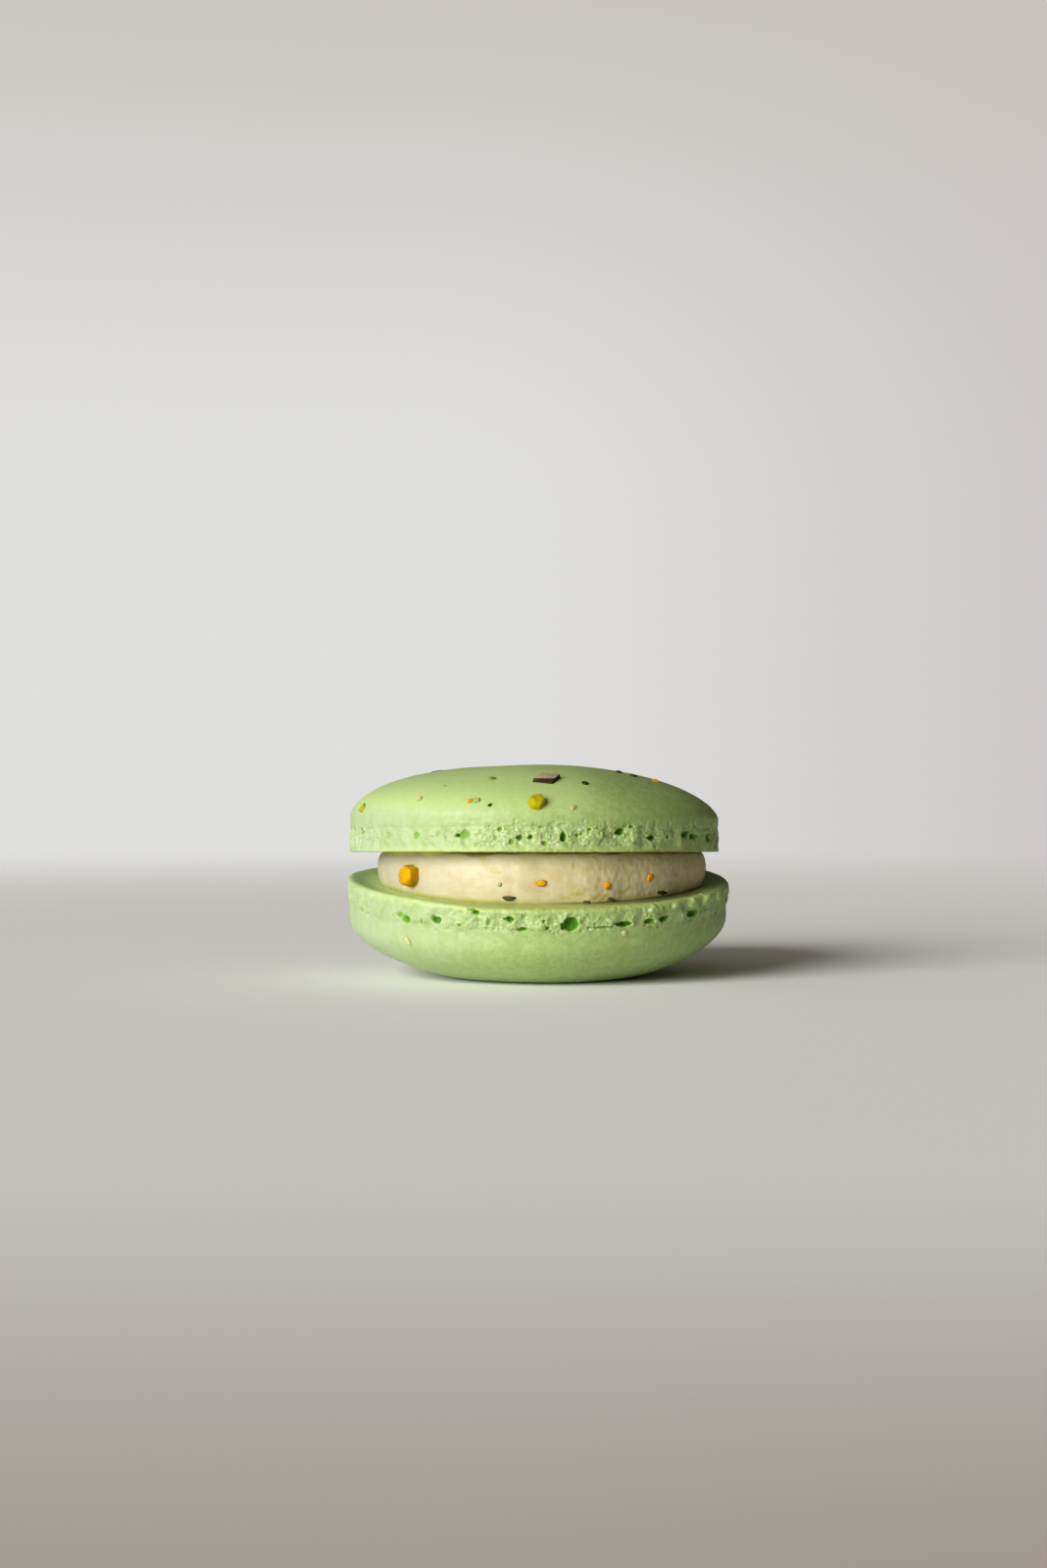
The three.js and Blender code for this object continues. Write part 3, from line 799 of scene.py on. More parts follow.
def shell_mesh(shell):
    bm = turned(shell_profile(shell))
    lip = shell.foot_radius - LIP_WIDTH - 0.01
    refine(bm, lambda radius, z: z < shell.shoulder + 0.01 and radius > lip, FINE_CUTS)
    place_all(bm, lambda angle, radius, z: shell_point(shell, angle, radius, z))
    face_outwards(bm)
    carve_foot(bm, shell)
    bmesh.ops.transform(bm, matrix=shell_placement(shell), verts=bm.verts)
    if shell.crown_down:
        settle_on_floor(bm)
    face_outwards(bm)
    return bm


# Buttercream.
def base_plane(shell, y):
    """The height of a shell's flat base there."""
    return shell.base_height + y * math.tan(math.radians(shell.lean))


def cream_roughness(angle, rise):
    """Fine ripples and crumbs, strongest over some stretches, with smooth spread cream between them."""
    turn = Vector((math.sin(angle), math.cos(angle), 0))
    degrees = math.degrees(angle)
    front = smoothstep(degrees, *CREAM_ROUGH_START) * (1 - smoothstep(degrees, *CREAM_ROUGH_END))
    back = smoothstep(abs(degrees), *CREAM_ROUGH_BACK) * max(0.0, 0.5 + noise.noise(2.2 * turn))
    ripples = noise.noise(Vector((22 * turn.x, 22 * turn.y, 1.3 * rise)))
    crumbs = noise.noise(Vector((38 * turn.x, 38 * turn.y, 11 * rise)))
    fine = noise.noise(Vector((75 * turn.x, 75 * turn.y, 22 * rise)))
    return (0.2 + 0.6 * max(front, back)) * (0.03 * ripples + 0.07 * crumbs + 0.04 * fine)


def cream_point(angle, reach, rise):
    """A point of the cream: rise 0 is its underside and 1 its top, and its side swells between them."""
    rough = relief(CREAM_SMEAR, CREAM_RADIUS, angle, 2 * rise, CREAM_SEED)
    rough += relief(CREAM_RIPPLE, CREAM_RADIUS, angle, rise, CREAM_SEED + 1)
    tuck = lerp(CREAM_TUCK[0], CREAM_TUCK[1], rise)
    bulge = tuck * (math.sqrt(max(0.0, math.sin(math.pi * rise))) - 1)
    radius = reach * (CREAM_RADIUS + bulge + rough + rim_wave(angle, CREAM_SEED))
    point = polar(angle, radius, 0, CREAM_ACROSS)
    under = base_plane(LOWER, point.y) - CREAM_SINK
    over = base_plane(UPPER, point.y) + CREAM_SINK
    point.z = lerp(under, over, rise)
    return point


def cream_profile():
    """Places out along the cream's underside, up its side and back along its top, with z as the rise."""
    flat = steps(0, CREAM_RADIUS, CREAM_FLAT_ROWS)
    places = [(radius, 0.0) for radius in flat]
    for row in range(CREAM_ROWS + 1):
        rise = 0.5 - 0.5 * math.cos(math.pi * row / CREAM_ROWS)
        places.append((CREAM_RADIUS, lerp(rise, row / CREAM_ROWS, 0.6)))
    places += [(radius, 1.0) for radius in reversed(flat)]
    return places


def stain_share(angle, rise):
    """1 in the middle of a smear, fading to 0 at its rim."""
    share = 0.0
    for stain_angle, stain_rise, width, height in CREAM_STAINS:
        along = math.radians(math.degrees(angle) - stain_angle) * CREAM_RADIUS / width * 2
        up = (rise - stain_rise) * CREAM_HEIGHT / height * 2
        share = max(share, 1 - smoothstep(along * along + up * up, 0.3, 1.3))
    return share


def seam_share(angle, rise, thickness):
    """1 in uneven thin lines where the shells stain the cream and painted shadow lies: its top, and on the
    right its underside.
    """
    width = 0.38 + 0.35 * noise_round(angle, 9, CREAM_SEED)
    place, reach, swelling = CREAM_SEAM_KNOT
    width += swelling * math.exp(-(((math.degrees(angle) - place) / reach) ** 2))
    over = 1 - smoothstep((1 - rise) * thickness, 0.4 * width, width)
    under = 1 - smoothstep(rise * thickness, 0.35 * width, 0.8 * width)
    return max(over, under * smoothstep(math.degrees(angle), *CREAM_SEAM_ARC))


def olive_edge_share(angle, rise, thickness):
    """1 along the cream's lower edge, to the left of the front, where it is coloured olive."""
    turn = math.degrees(angle)
    arc = smoothstep(turn, *CREAM_OLIVE_EDGE_START) * (1 - smoothstep(turn, *CREAM_OLIVE_EDGE_END))
    width = 0.6 + 0.35 * noise_round(angle, 7, CREAM_SEED)
    return arc * (1 - smoothstep(rise * thickness, 0.3 * width, width))


def shape_cream(vert, layers):
    """Moves a vertex of the even cream to its place, and notes for the material what lies there."""
    x, y, rise = vert.co
    angle = math.atan2(x, -y)
    reach = math.hypot(x, y) / CREAM_RADIUS
    point = cream_point(angle, reach, rise)
    thickness = base_plane(UPPER, point.y) - base_plane(LOWER, point.y)
    nearest = min(rise, 1 - rise) * thickness
    if reach > 0.99:
        fade = smoothstep(nearest, 0, CREAM_ROUGH_RIM)
        point += polar(angle, fade * cream_roughness(angle, rise), 0)
    vert[layers["stain"]] = stain_share(angle, rise)
    vert[layers["edge"]] = 1 - smoothstep(nearest, *CREAM_EDGE)
    vert[layers["seam"]] = seam_share(angle, rise, thickness)
    vert[layers["olive_edge"]] = olive_edge_share(angle, rise, thickness)
    vert.co = point


def cream_mesh():
    bm = turned(cream_profile())
    refine(bm, lambda radius, z: radius > CREAM_RADIUS - 0.01, CREAM_CUTS)
    layers = float_layers(bm, ("stain", "edge", "seam", "olive_edge"))
    for vert in bm.verts:
        shape_cream(vert, layers)
    face_outwards(bm)
    return bm


# Flakes.
def ruled_dome_flakes(shell):
    """Flakes over the crown of the shell that lies crown up, and over the sides and back of the other."""
    seed = shell.seed
    inner = 0.62 if shell.crown_down else 0.01
    flakes = []
    for index in range(shell.flakes_by_rule):
        size = scatter(index, seed + 6) ** 2
        flakes.append(
            Flake(
                RULED_KINDS[index % len(RULED_KINDS)],
                95 + 170 * scatter(index, seed + 4),
                math.sqrt(lerp(inner, 0.92, scatter(index, seed + 5))),
                lerp(0.9, 2.4, size),
                lerp(0.7, 1.6, size),
                lerp(0.35, 0.6, size),
                180 * scatter(index, seed + 7),
                scatter(index, seed + 8),
                5 + index % 3,
            )
        )
    return flakes


def ruled_cream_flakes():
    """Flakes in the sides of the cream, out of the front arc."""
    flakes = []
    pairs = CREAM_FLAKES_BY_RULE / 2
    for index in range(CREAM_FLAKES_BY_RULE):
        side = 1 if index % 2 else -1
        along = (index // 2 + 0.2 + 0.6 * scatter(index, CREAM_SEED)) / pairs
        flakes.append(
            Flake(
                RULED_KINDS[index % len(RULED_KINDS)],
                side * lerp(*CREAM_FLAKE_ARC, along),
                lerp(0.3, 0.7, scatter(index, CREAM_SEED + 1)),
                lerp(0.8, 1.5, scatter(index, CREAM_SEED + 2)),
                lerp(0.5, 0.9, scatter(index, CREAM_SEED + 3)),
                0.6,
                lerp(0, 25, scatter(index, CREAM_SEED + 4)),
                0.5 * scatter(index, CREAM_SEED + 5),
            )
        )
    return flakes


def laid(flake, point, normal):
    """The placement of a flake on a surface with that normal, a little more than half sunk in it."""
    turn = Vector((0, 0, 1)).rotation_difference(normal).to_matrix().to_4x4()
    centre = point + normal * (flake.thickness * FLAKE_LIFT - FLAKE_SINK)
    return Matrix.Translation(centre) @ turn @ Matrix.Rotation(math.radians(flake.turn), 4, "Z")


def skin_point(shell, angle, along):
    """A point of the dome, or of the side under it where along is over 1."""
    if along > 1:
        return side_point(shell, angle, shell.shoulder - (along - 1) * shell.dome_radius)
    return dome_point(shell, angle, along)


def dome_placement(shell, flake):
    """The placement of a flake on a shell's dome."""
    step = 0.004
    angle = math.radians(flake.angle)
    point = skin_point(shell, angle, flake.along)
    inward = skin_point(shell, angle, flake.along - step) - point
    sideways = skin_point(shell, angle + step, flake.along) - point
    return shell_placement(shell) @ laid(flake, point, sideways.cross(inward).normalized())


def cream_placement(flake):
    """The placement of a flake in the cream's side."""
    angle = math.radians(flake.angle)
    return laid(flake, cream_point(angle, 1, flake.along), polar(angle, 1, 0))


def placed_flakes():
    """Every flake with its placement."""
    found = []
    for shell in (UPPER, LOWER):
        for flake in [*shell.flakes, *ruled_dome_flakes(shell)]:
            found.append((flake, dome_placement(shell, flake)))
    for flake in [*CREAM_FLAKES, *ruled_cream_flakes()]:
        found.append((flake, cream_placement(flake)))
    return found


def broken(bm, draw):
    """Breaks a corner off a flake that is one unit tall, and closes the break with a flat face."""
    way = draw.uniform(0, math.tau)
    normal = Vector((math.cos(way), math.sin(way), draw.uniform(*BREAK_SLOPES))).normalized()
    place = Vector((0, 0, 0.5)) + normal * draw.uniform(*BREAK_REACHES)
    parts = bm.verts[:] + bm.edges[:] + bm.faces[:]
    cut = bmesh.ops.bisect_plane(bm, geom=parts, plane_co=place, plane_no=normal, clear_outer=True)
    rim = [part for part in cut["geom_cut"] if isinstance(part, bmesh.types.BMEdge)]
    bmesh.ops.holes_fill(bm, edges=rim, sides=0)


def chopped_slab(flake, draw):
    """A flat slab with uneven corners, one unit tall, with corners broken off it."""
    bm = bmesh.new()
    bmesh.ops.create_circle(bm, cap_ends=True, radius=SLAB_RADIUS, segments=flake.corners)
    for vert in bm.verts:
        vert.co *= draw.uniform(*SLAB_CORNERS)
    raised = bmesh.ops.extrude_face_region(bm, geom=bm.faces[:])["geom"]
    upper = [part for part in raised if isinstance(part, bmesh.types.BMVert)]
    bmesh.ops.scale(bm, verts=upper, vec=(SLAB_TAPER, SLAB_TAPER, 1))
    bmesh.ops.translate(bm, verts=upper, vec=(0, 0, 1))
    face_outwards(bm)
    for _ in range(flake.breaks):
        broken(bm, draw)
    return bm


def wear(bm, worn):
    """Rounds the edges of a broken slab, and divides its large faces for a rough skin."""
    bmesh.ops.remove_doubles(bm, verts=bm.verts, dist=worn)
    bmesh.ops.bevel(
        bm,
        geom=bm.edges,
        offset=worn,
        segments=2,
        profile=0.5,
        affect="EDGES",
        clamp_overlap=True,
        material=-1,
    )
    bmesh.ops.triangulate(bm, faces=bm.faces)
    long_edges = [edge for edge in bm.edges if edge.calc_length() > worn]
    bmesh.ops.subdivide_edges(bm, edges=long_edges, cuts=1, use_grid_fill=True)
    bmesh.ops.triangulate(bm, faces=bm.faces)


def flake_mesh(flake, draw):
    """A chopped flake: a broken slab with worn edges and a rough skin."""
    bm = chopped_slab(flake, draw)
    bmesh.ops.scale(bm, verts=bm.verts, vec=(flake.length, flake.width, flake.thickness))
    wear(bm, FLAKE_WEAR * min(flake.width, flake.thickness))
    bmesh.ops.translate(bm, verts=bm.verts, vec=(0, 0, -SLAB_DROP * flake.thickness))
    face_outwards(bm)
    bm.normal_update()
    layers = float_layers(bm, ("ripe", "top"))
    shift = Vector((draw.uniform(0, 99), 0, 0))
    for vert in bm.verts:
        vert[layers["ripe"]] = flake.ripe
        vert[layers["top"]] = smoothstep(vert.co.z / flake.thickness, *FLAKE_TOP)
        vert.co += vert.normal * FLAKE_ROUGHNESS * noise.noise(vert.co * 3 + shift)
    return bm


def flakes_mesh(kind):
    """All the flakes of one kind as one mesh, each drawn by its own place in the row."""
    whole = bmesh.new()
    for index, (flake, placement) in enumerate(placed_flakes()):
        if flake.kind != kind:
            continue
        single = flake_mesh(flake, random.Random(f"{kind} {index}"))
        bmesh.ops.transform(single, matrix=placement, verts=single.verts)
        face_outwards(single)
        carrier = bpy.data.meshes.new("flake")
        single.to_mesh(carrier)
        whole.from_mesh(carrier)
        bpy.data.meshes.remove(carrier)
        single.free()
    return whole


# Materials. A noise's scale is in waves for each millimetre, and its detail in octaves.
def add(tree, kind, inputs=None, **settings):
    """A new node with its settings, and each input set to a value or linked to another node's output."""
    node = tree.nodes.new(kind)
    for name, value in settings.items():
        setattr(node, name, value)
    for name, value in (inputs or {}).items():
        if isinstance(value, bpy.types.NodeSocket):
            tree.links.new(value, node.inputs[name])
        else:
            node.inputs[name].default_value = value
    return node


def new_material(name, roughness):
    """A material with its node tree and its shader."""
    material = bpy.data.materials.new(name)
    material.use_nodes = True
    tree = material.node_tree
    shader = tree.nodes["Principled BSDF"]
    shader.inputs["Roughness"].default_value = roughness
    return material, tree, shader


def new_food(name, roughness, shine, softness, softness_radius):
    """A material that is soft inside, as light goes a little way into the food."""
    material, tree, shader = new_material(name, roughness)
    shader.inputs["Specular IOR Level"].default_value = shine
    shader.inputs["Subsurface Weight"].default_value = softness
    shader.inputs["Subsurface Radius"].default_value = softness_radius
    shader.inputs["Subsurface Scale"].default_value = MM
    return material, tree, shader


def placed(tree):
    """Object coordinates, and their three parts by name."""
    place = add(tree, "ShaderNodeTexCoord").outputs["Object"]
    return place, add(tree, "ShaderNodeSeparateXYZ", {0: place}).outputs


def cloud(tree, scale, detail, stretch=None):
    """Noise over Object coordinates, from 0 to 1 around a half."""
    place = add(tree, "ShaderNodeTexCoord").outputs["Object"]
    if stretch:
        place = add(tree, "ShaderNodeMapping", {"Vector": place, "Scale": stretch}).outputs[0]
    inputs = {"Vector": place, "Scale": scale * PER_MM, "Detail": detail}
    return add(tree, "ShaderNodeTexNoise", inputs).outputs[0]


def ramp(tree, value, low, high, from_value=0.0, to_value=1.0):
    """The value's range low to high as from_value to to_value, with soft ends."""
    inputs = {"Value": value, 1: low, 2: high, 3: from_value, 4: to_value}
    return add(tree, "ShaderNodeMapRange", inputs, interpolation_type="SMOOTHSTEP").outputs[0]


def clouded(tree, pattern, stretch=None):
    """A pattern of noise: its range low to high as from_value to to_value."""
    scale, detail, *limits = pattern
    return ramp(tree, cloud(tree, scale, detail, stretch), *limits)


def times(tree, a, b):
    """One share times another."""
    return add(tree, "ShaderNodeMath", {0: a, 1: b}, operation="MULTIPLY").outputs[0]


def mixed(tree, share, a, b):
    """Colour a where the share is 0 and b where it is 1."""
    node = add(tree, "ShaderNodeMix", {0: share}, data_type="RGBA")
    for index, colour in ((6, a), (7, b)):
        if isinstance(colour, bpy.types.NodeSocket):
            tree.links.new(colour, node.inputs[index])
        else:
            node.inputs[index].default_value = (*colour, 1)
    return node.outputs[2]


def attribute(tree, name):
    """What the mesh notes at its vertices under that name."""
    return add(tree, "ShaderNodeAttribute", attribute_name=name).outputs["Fac"]


def bumped(tree, shader, layers):
    """Stacks bumps on the shader, each a height from 0 to 1 with the distance that 1 stands for in mm."""
    normal = None
    for height, distance in layers:
        inputs = {"Height": height, "Distance": distance * MM, "Strength": 1.0}
        if normal:
            inputs["Normal"] = normal
        normal = add(tree, "ShaderNodeBump", inputs).outputs[0]
    tree.links.new(normal, shader.inputs["Normal"])


def specks(tree, scale, radius, share):
    """1 in scattered round specks of about that radius in millimetres."""
    place = add(tree, "ShaderNodeTexCoord").outputs["Object"]
    cells = add(tree, "ShaderNodeTexVoronoi", {"Vector": place, "Scale": scale * PER_MM})
    near = ramp(tree, cells.outputs["Distance"], radius * scale, radius * scale * 0.6)
    chosen = add(tree, "ShaderNodeSeparateColor", {0: cells.outputs["Color"]}).outputs[0]
    return times(tree, near, ramp(tree, chosen, share, share - 0.02))


# Colours; the places in metres where they change; patterns, as (waves, octaves, low, high, from_value,
# to_value); and specks, as (cells for each millimetre, radius in millimetres, share of the cells).
MERINGUE = (0.37, 0.485, 0.17)
# Painted sheen: the next colour is a greyer green for the lit left side.
MERINGUE_PAINTED_SHEEN = (0.355, 0.44, 0.27)
MERINGUE_DEEP = (0.25, 0.365, 0.08)
MERINGUE_PALE = (0.64, 0.74, 0.48)
# Painted light: a brighter green for the left part of the crown.
MERINGUE_CROWN_PAINTED_LIGHT = (0.46, 0.61, 0.21)
# Painted light: a brighter base colour for the left side of the ledge.
MERINGUE_BASE_PAINTED_LIGHT = (0.83, 0.93, 0.26)
MERINGUE_BASE = (0.48, 0.53, 0.14)
MERINGUE_BACK = (0.42, 0.60, 0.20)
# Painted shadow: a dark olive for the ledge beside the cream.
MERINGUE_LEDGE_SHADOW = (0.07, 0.085, 0.015)
# Painted shade: the dark green of open pores.
PORE_PAINTED_SHADE = (0.15, 0.24, 0.04)
# Painted shade in the bubbles: darker, greener colours for their insides, the deepest last.
BUBBLE_PAINTED_SHADE = (0.18, 0.36, 0.03)
BUBBLE_DEEP_PAINTED_SHADE = (0.06, 0.20, 0.0)
CROWN_HEIGHT = (0.0185, 0.0208)
# The painted light on the crown fades out across these places.
CROWN_PAINTED_LIGHT_SIDE = (0.003, 0.009)
# Where painted sheen is laid on the left, on the meringue and on the cream.
PAINTED_SHEEN_SIDE = (-0.022, 0.0)
PATCHY_SIDE = (-0.018, 0.002)
BASE_FRONT = (-0.018, -0.004)
BASE_SIDE = (-0.020, -0.004)
# Where the painted shadow on the ledge grows, and where it fades at the far right.
LEDGE_SHADOW_SIDE = (0.002, 0.012)
LEDGE_SHADOW_END = (0.0165, 0.0195)
MOTTLE = (1.3, 3, 0.42, 0.62, 0.0, 0.55)
STREAKS = (1.0, 2, 0.45, 0.65, 0.0, 0.3)
PATCHES = (0.12, 2, 0.4, 0.65, 0.0, 0.2)
FLECKS = (3.0, 2, 0.48, 0.62, 0.0, 0.45)
CRUMBS = (1.1, 3, 0.42, 0.6, 0.5, 1.0)
TOASTING = (0.8, 4, 0.4, 0.65, 0.95, 0.5)
DOME_PORES = (0.9, 0.06, 0.25)
FOOT_PORES = (2.4, 0.1, 0.6)


def meringue_skin(tree, parts):
    """The meringue's green: greyer on the left as painted sheen, brighter by the crown as painted light,
    mottled, streaked and flecked.
    """
    patchy = ramp(tree, parts["X"], *PATCHY_SIDE, 0.25, 1.0)
    mottle = times(tree, clouded(tree, MOTTLE), patchy)
    streaks = clouded(tree, STREAKS, stretch=(1, 1, 0.3))
    flecks = times(tree, clouded(tree, FLECKS), patchy)
    # Painted sheen: the green greyer and less saturated on the left, where the highlight falls.
    colour = mixed(tree, ramp(tree, parts["X"], *PAINTED_SHEEN_SIDE, 0.8, 0.0), MERINGUE, MERINGUE_PAINTED_SHEEN)
    for share in (mottle, streaks, clouded(tree, PATCHES), flecks):
        colour = mixed(tree, share, colour, MERINGUE_DEEP)
    # Painted light: the crown brighter, on its left part only.
    crown = ramp(tree, parts["Z"], *CROWN_HEIGHT, 0.0, 0.7)
    crown = times(tree, crown, ramp(tree, parts["X"], *CROWN_PAINTED_LIGHT_SIDE, 1.0, 0.0))
    return mixed(tree, crown, colour, MERINGUE_CROWN_PAINTED_LIGHT)


def with_pores(tree, colour, froth_here):
    """Painted shade of open pores as dark green specks in the dome and, finer, in the foot, and pale crumbs
    on the foam between its bubbles.
    """
    # Painted shade: dark green specks for the insides of open pores.
    colour = mixed(tree, specks(tree, *DOME_PORES), colour, PORE_PAINTED_SHADE)
    pores = times(tree, specks(tree, *FOOT_PORES), ramp(tree, froth_here, 0.15, 0.6))
    colour = mixed(tree, pores, colour, PORE_PAINTED_SHADE)
    crumbs = times(tree, clouded(tree, CRUMBS), attribute(tree, "bead"))
    return mixed(tree, crumbs, colour, MERINGUE_PALE)


def with_base(tree, colour, parts):
    """The flat base: painted light on the left, yellowish in front, greener behind, and painted shadow round
    the cream, strongest on the right.
    """
    # Painted light on the base's left side.
    front = mixed(tree, ramp(tree, parts["X"], *BASE_SIDE), MERINGUE_BASE_PAINTED_LIGHT, MERINGUE_BASE)
    baked = mixed(tree, ramp(tree, parts["Y"], *BASE_FRONT), front, MERINGUE_BACK)
    base = times(tree, attribute(tree, "base"), clouded(tree, TOASTING))
    colour = mixed(tree, base, colour, baked)
    # Painted shadow on the ledge by the cream, strongest on the right and fading at the far right.
    ledge_shadow = times(tree, attribute(tree, "ledge_shadow"), ramp(tree, parts["X"], *LEDGE_SHADOW_SIDE, 0.15, 0.9))
    ledge_shadow = times(tree, ledge_shadow, ramp(tree, parts["X"], *LEDGE_SHADOW_END, 1.0, 0.4))
    return mixed(tree, ledge_shadow, colour, MERINGUE_LEDGE_SHADOW)


def meringue_material():
    """Matte baked meringue, with painted shade: a darker, deeper green inside its bubbles."""
    material, tree, shader = new_food("meringue", 0.55, 0.6, 0.3, (0.8, 1.2, 0.4))
    froth_here = attribute(tree, "froth")
    hollow_here = attribute(tree, "hollow")
    parts = placed(tree)[1]
    colour = with_pores(tree, meringue_skin(tree, parts), froth_here)
    colour = with_base(tree, colour, parts)
    # Painted shade: the deeper a bubble, the darker and greener its inside.
    colour = mixed(tree, ramp(tree, hollow_here, 0.1, 0.5), colour, BUBBLE_PAINTED_SHADE)
    colour = mixed(tree, ramp(tree, hollow_here, 0.5, 1.0), colour, BUBBLE_DEEP_PAINTED_SHADE)
    tree.links.new(colour, shader.inputs["Base Color"])
    tree.links.new(ramp(tree, hollow_here, 0.1, 0.6, 0.55, 0.9), shader.inputs["Roughness"])
    froth_bump = times(tree, cloud(tree, 3.6, 2), froth_here)
    bumped(tree, shader, ((cloud(tree, 1.8, 3), 0.04), (froth_bump, 0.03)))
    return material


CREAM = (0.51, 0.415, 0.19)
CREAM_LIGHT = (0.55, 0.475, 0.26)
# Painted sheen: a greyer cream for the lit left side.
CREAM_PAINTED_SHEEN = (0.41, 0.385, 0.285)
CREAM_STAIN = (0.40, 0.36, 0.08)
# Olive along part of the cream's lower edge.
CREAM_OLIVE_EDGE = (0.32, 0.32, 0.06)
# The seam colours: a stain with painted light on the left and painted contact shadow elsewhere.
CREAM_SEAM_PAINTED_LIGHT = (0.85, 0.85, 0.10)
CREAM_SEAM_PAINTED_SHADOW = (0.12, 0.115, 0.0)
SEAM_SIDE = (-0.013, -0.008)
CREAM_BLOTCHY = (0.0, 0.012)
CREAM_STREAKS = (0.5, 3, 0.35, 0.65, 0.0, 1.0)
CREAM_BLOTCHES = (0.7, 3, 0.45, 0.65, 0.0, 0.45)
CREAM_FRECKLES = (0.55, 0.12, 0.35)


def cream_skin(tree, parts):
    """The cream's yellow: lighter in streaks, greyer on the left as painted sheen, and stained by crumbs of
    meringue.
    """
    blotches = times(tree, clouded(tree, CREAM_BLOTCHES), ramp(tree, parts["X"], *CREAM_BLOTCHY))
    freckles = times(tree, specks(tree, *CREAM_FRECKLES), 0.6)
    smears = times(tree, attribute(tree, "stain"), 0.8)
    edges = times(tree, attribute(tree, "edge"), 0.55)
    streaks = clouded(tree, CREAM_STREAKS, stretch=(1, 1, 2.2))
    colour = mixed(tree, streaks, CREAM, CREAM_LIGHT)
    # Painted sheen: the cream greyer and less saturated on the left, where the highlight falls.
    colour = mixed(tree, ramp(tree, parts["X"], *PAINTED_SHEEN_SIDE, 0.8, 0.0), colour, CREAM_PAINTED_SHEEN)
    for share in (freckles, smears, blotches, edges):
        colour = mixed(tree, share, colour, CREAM_STAIN)
    return colour


def cream_material():
    """Soft satin buttercream, olive along part of its lower edge; its stained seams with the shells carry
    painted shadow, and painted light on the left.
    """
    material, tree, shader = new_food("buttercream", 0.55, 0.9, 0.2, (1.6, 1.2, 0.7))
    parts = placed(tree)[1]
    olive_edge = times(tree, attribute(tree, "olive_edge"), 0.9)
    colour = mixed(tree, olive_edge, cream_skin(tree, parts), CREAM_OLIVE_EDGE)
    # Painted light on the seam at the left, painted contact shadow on the seam elsewhere.
    seam = mixed(tree, ramp(tree, parts["X"], *SEAM_SIDE), CREAM_SEAM_PAINTED_LIGHT, CREAM_SEAM_PAINTED_SHADOW)
    colour = mixed(tree, times(tree, attribute(tree, "seam"), 0.9), colour, seam)
    tree.links.new(colour, shader.inputs["Base Color"])
    bumped(tree, shader, ((cloud(tree, 0.9, 3), 0.06), (cloud(tree, 5.0, 2), 0.01)))
    return material


# Each tint's third colour and its share are dust with painted light on the flakes' upper faces.
PETAL = Tint("petal", (0.34, 0.33, 0.0), (0.70, 0.28, 0.0), (0.72, 0.38, 0.0), 0.3, 0.4)
PISTACHIO = Tint("pistachio", (0.12, 0.21, 0.0), (0.56, 0.56, 0.20), (0.58, 0.56, 0.26), 0.3, 0.3)
COCOA = Tint("cocoa", (0.04, 0.035, 0.004), (0.035, 0.024, 0.006), (0.38, 0.31, 0.20), 0.95, 0.45)
FLAKE_GRAIN = (1.6, 3, 0.35, 0.7, 0.0)
FLAKE_SHADE = 0.35


def flake_material(tint):
    """A flake's colour goes from young to ripe by piece, with shaded grain and an upper face with dust and
    painted light.
    """
    material, tree, shader = new_food(tint.kind, 0.65, 0.1, 0.08, (0.5, 0.4, 0.1))
    ripe_here = attribute(tree, "ripe")
    colour = mixed(tree, ripe_here, tint.young, tint.ripe)
    shaded = tuple(FLAKE_SHADE * channel for channel in tint.ripe)
    colour = mixed(tree, clouded(tree, (*FLAKE_GRAIN, tint.grain)), colour, shaded)
    top = ramp(tree, attribute(tree, "top"), 0.6, 1.0)
    # Dust and painted light: the upper face paler, most of all on the cocoa.
    dusty_and_lit = times(tree, times(tree, top, ripe_here), tint.dust_and_light_share)
    colour = mixed(tree, dusty_and_lit, colour, tint.dust_and_painted_light)
    tree.links.new(colour, shader.inputs["Base Color"])
    bumped(tree, shader, ((cloud(tree, 3.0, 3), 0.1),))
    return material


# Pieces.
def linked(name, data):
    """A new object in the scene that shows the data."""
    made = bpy.data.objects.new(name, data)
    bpy.context.scene.collection.objects.link(made)
    return made


def finished(name, bm, material, node=None):
    """Turns a bmesh into a smooth piece in metres that rides with the macaron."""
    bmesh.ops.translate(bm, verts=bm.verts, vec=CENTRING)
    bmesh.ops.scale(bm, verts=bm.verts, vec=(MM, MM, MM))
    mesh = bpy.data.meshes.new(name)
    bm.to_mesh(mesh)
    bm.free()
    mesh.polygons.foreach_set("use_smooth", [True] * len(mesh.polygons))
    mesh.materials.append(material)
    piece = linked(name, mesh)
    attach(piece, "root")
    if node:
        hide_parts(node)


meringue = meringue_material()
finished("upper_meringue", shell_mesh(UPPER), meringue, UPPER.node)
finished("lower_meringue", shell_mesh(LOWER), meringue, LOWER.node)
finished("buttercream_layer", cream_mesh(), cream_material(), CREAM_NODE)
finished("petal_flakes", flakes_mesh("petal"), flake_material(PETAL))
finished("pistachio_flakes", flakes_mesh("pistachio"), flake_material(PISTACHIO))
finished("cocoa_flakes", flakes_mesh("cocoa"), flake_material(COCOA))


# Floor, light and camera. Places are in metres, and the window's angles in degrees.
PAPER = (0.95, 0.94, 0.915)
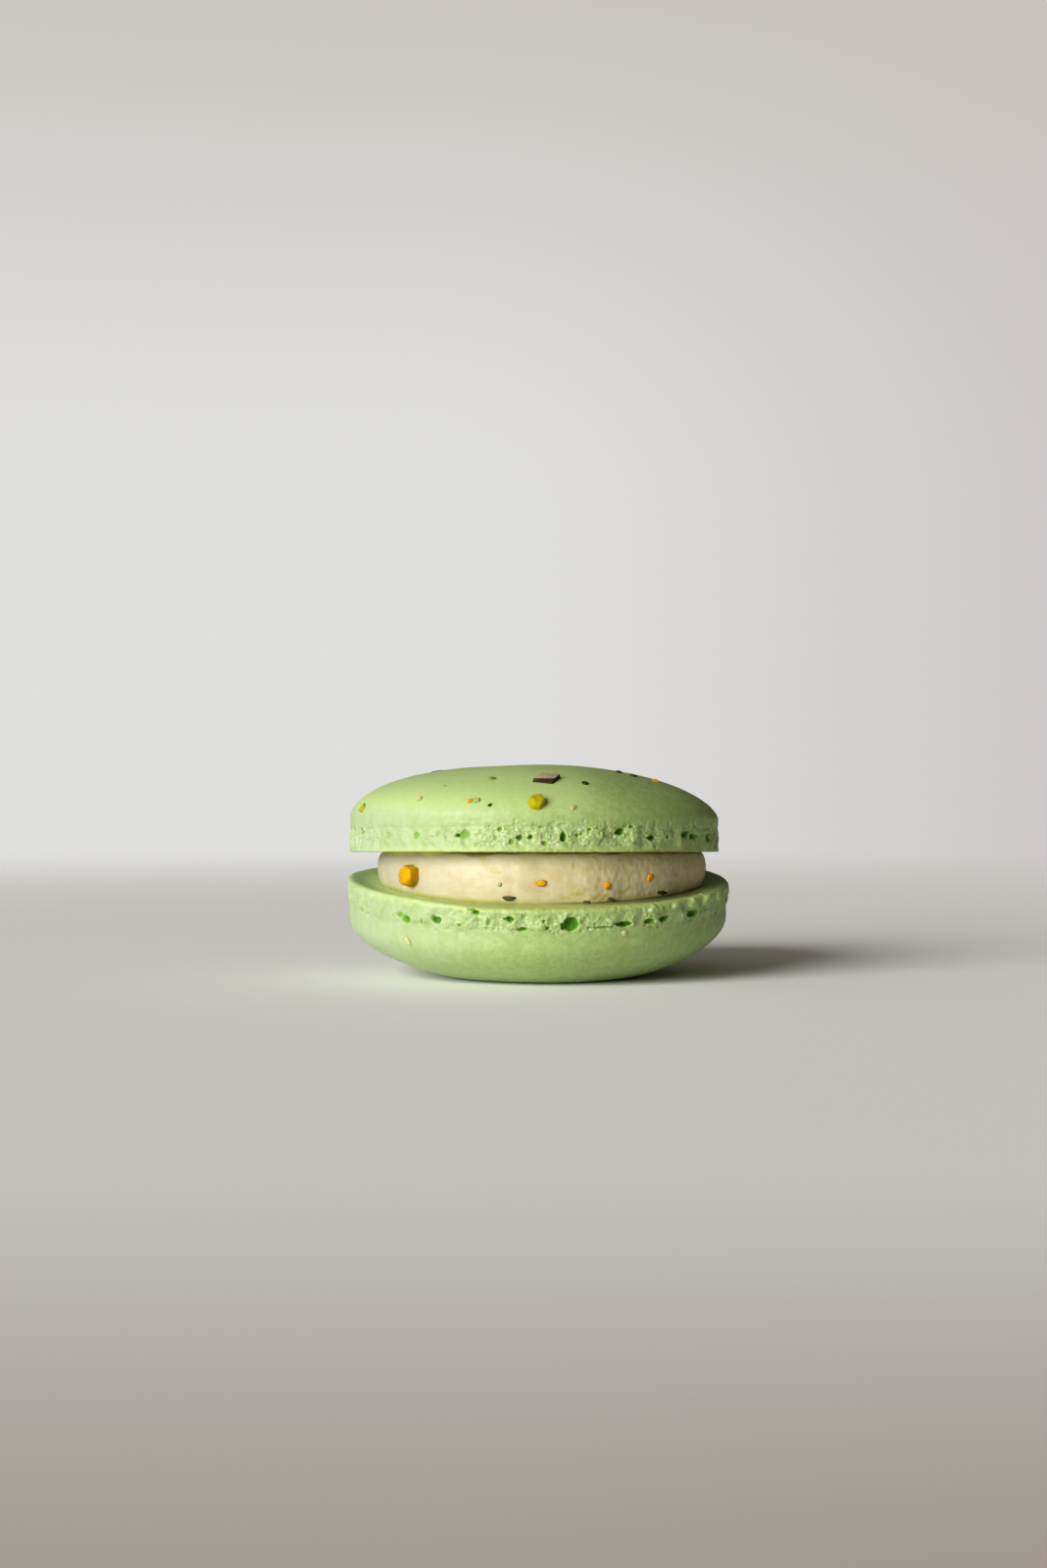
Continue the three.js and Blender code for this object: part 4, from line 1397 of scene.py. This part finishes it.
# Painted shade: a darker paper colour for the front, where the light falls off.
PAPER_FRONT_PAINTED_SHADE = (0.36, 0.29, 0.21)
PAPER_DEPTH = (-0.235, -0.13)
PAPER_FADE = (0.12, 0.5)
BACKDROP_LEFT = (0.745, 0.74, 0.735)
BACKDROP_RIGHT = (0.61, 0.58, 0.575)
BACKDROP_TOP = (0.56, 0.53, 0.50)
BACKDROP_SIDE = (-0.05, 0.27)
BACKDROP_RISE = (0.12, 0.4)
ROOM_LEFT = (0.40, 0.38, 0.34)
ROOM_RIGHT = (0.05, 0.045, 0.03)
ROOM_LEAN = (0.87, 0.2, 0.45)
ROOM_SIDE = (-0.8, 0.7)
WINDOW_STRENGTH = 4.7
WINDOW_SPREAD = 40
WINDOW_COLOUR = (1.0, 0.99, 1.0)
WINDOW_ANGLE = -44
WINDOW_HEIGHT = 17
CAMERA_PLACE = (-0.0017, -0.258, 0.02235)


def floor_material():
    """Pale paper with painted shade that darkens it towards the front, and that fades out far from the
    macaron.
    """
    material, tree, shader = new_material("paper", 0.85)
    place, parts = placed(tree)
    # Painted shade: the paper darker towards the front.
    paper = mixed(tree, ramp(tree, parts["Y"], *PAPER_DEPTH), PAPER_FRONT_PAINTED_SHADE, PAPER)
    tree.links.new(paper, shader.inputs["Base Color"])
    distance = add(tree, "ShaderNodeVectorMath", {0: place}, operation="LENGTH").outputs["Value"]
    tree.links.new(ramp(tree, distance, *PAPER_FADE, 1.0, 0.0), shader.inputs["Alpha"])
    return material


def floor():
    """A round sheet of paper under the macaron."""
    bm = bmesh.new()
    bmesh.ops.create_circle(bm, cap_ends=True, radius=1.0, segments=96)
    mesh = bpy.data.meshes.new("floor")
    bm.to_mesh(mesh)
    bm.free()
    mesh.materials.append(floor_material())
    piece = linked("floor", mesh)


def room():
    """The pale wall that the camera sees, and the dimmer light of the room, both brighter on the left."""
    world = bpy.data.worlds.new("room")
    bpy.context.scene.world = world
    world.use_nodes = True
    tree = world.node_tree
    direction = add(tree, "ShaderNodeTexCoord").outputs["Generated"]
    way = add(tree, "ShaderNodeSeparateXYZ", {0: direction})
    wall = mixed(tree, ramp(tree, way.outputs["X"], *BACKDROP_SIDE), BACKDROP_LEFT, BACKDROP_RIGHT)
    wall = mixed(tree, ramp(tree, way.outputs["Z"], *BACKDROP_RISE), wall, BACKDROP_TOP)
    lean = add(tree, "ShaderNodeVectorMath", {0: direction, 1: ROOM_LEAN}, operation="DOT_PRODUCT")
    light = mixed(tree, ramp(tree, lean.outputs["Value"], *ROOM_SIDE), ROOM_LEFT, ROOM_RIGHT)
    seen = add(tree, "ShaderNodeLightPath").outputs["Is Camera Ray"]
    tree.links.new(mixed(tree, seen, light, wall), tree.nodes["Background"].inputs["Color"])


def key_light():
    """A low, soft window light from the front left."""
    light = bpy.data.lights.new("window", "SUN")
    light.energy = WINDOW_STRENGTH
    light.angle = math.radians(WINDOW_SPREAD)
    light.color = WINDOW_COLOUR
    height = math.radians(WINDOW_HEIGHT)
    towards = polar(math.radians(WINDOW_ANGLE), math.cos(height), math.sin(height))
    linked("window", light).rotation_euler = towards.to_track_quat("Z", "Y").to_euler()


def camera():
    """A level camera in front of the macaron."""
    data = bpy.data.cameras.new("camera")
    data.lens = 50
    data.sensor_width = 36
    data.clip_start = 0.01
    eye = linked("camera", data)
    eye.location = CAMERA_PLACE
    eye.rotation_euler = (math.pi / 2, 0, 0)
    bpy.context.scene.camera = eye


floor()
room()
key_light()
camera()
bpy.context.scene.view_settings.view_transform = "Standard"
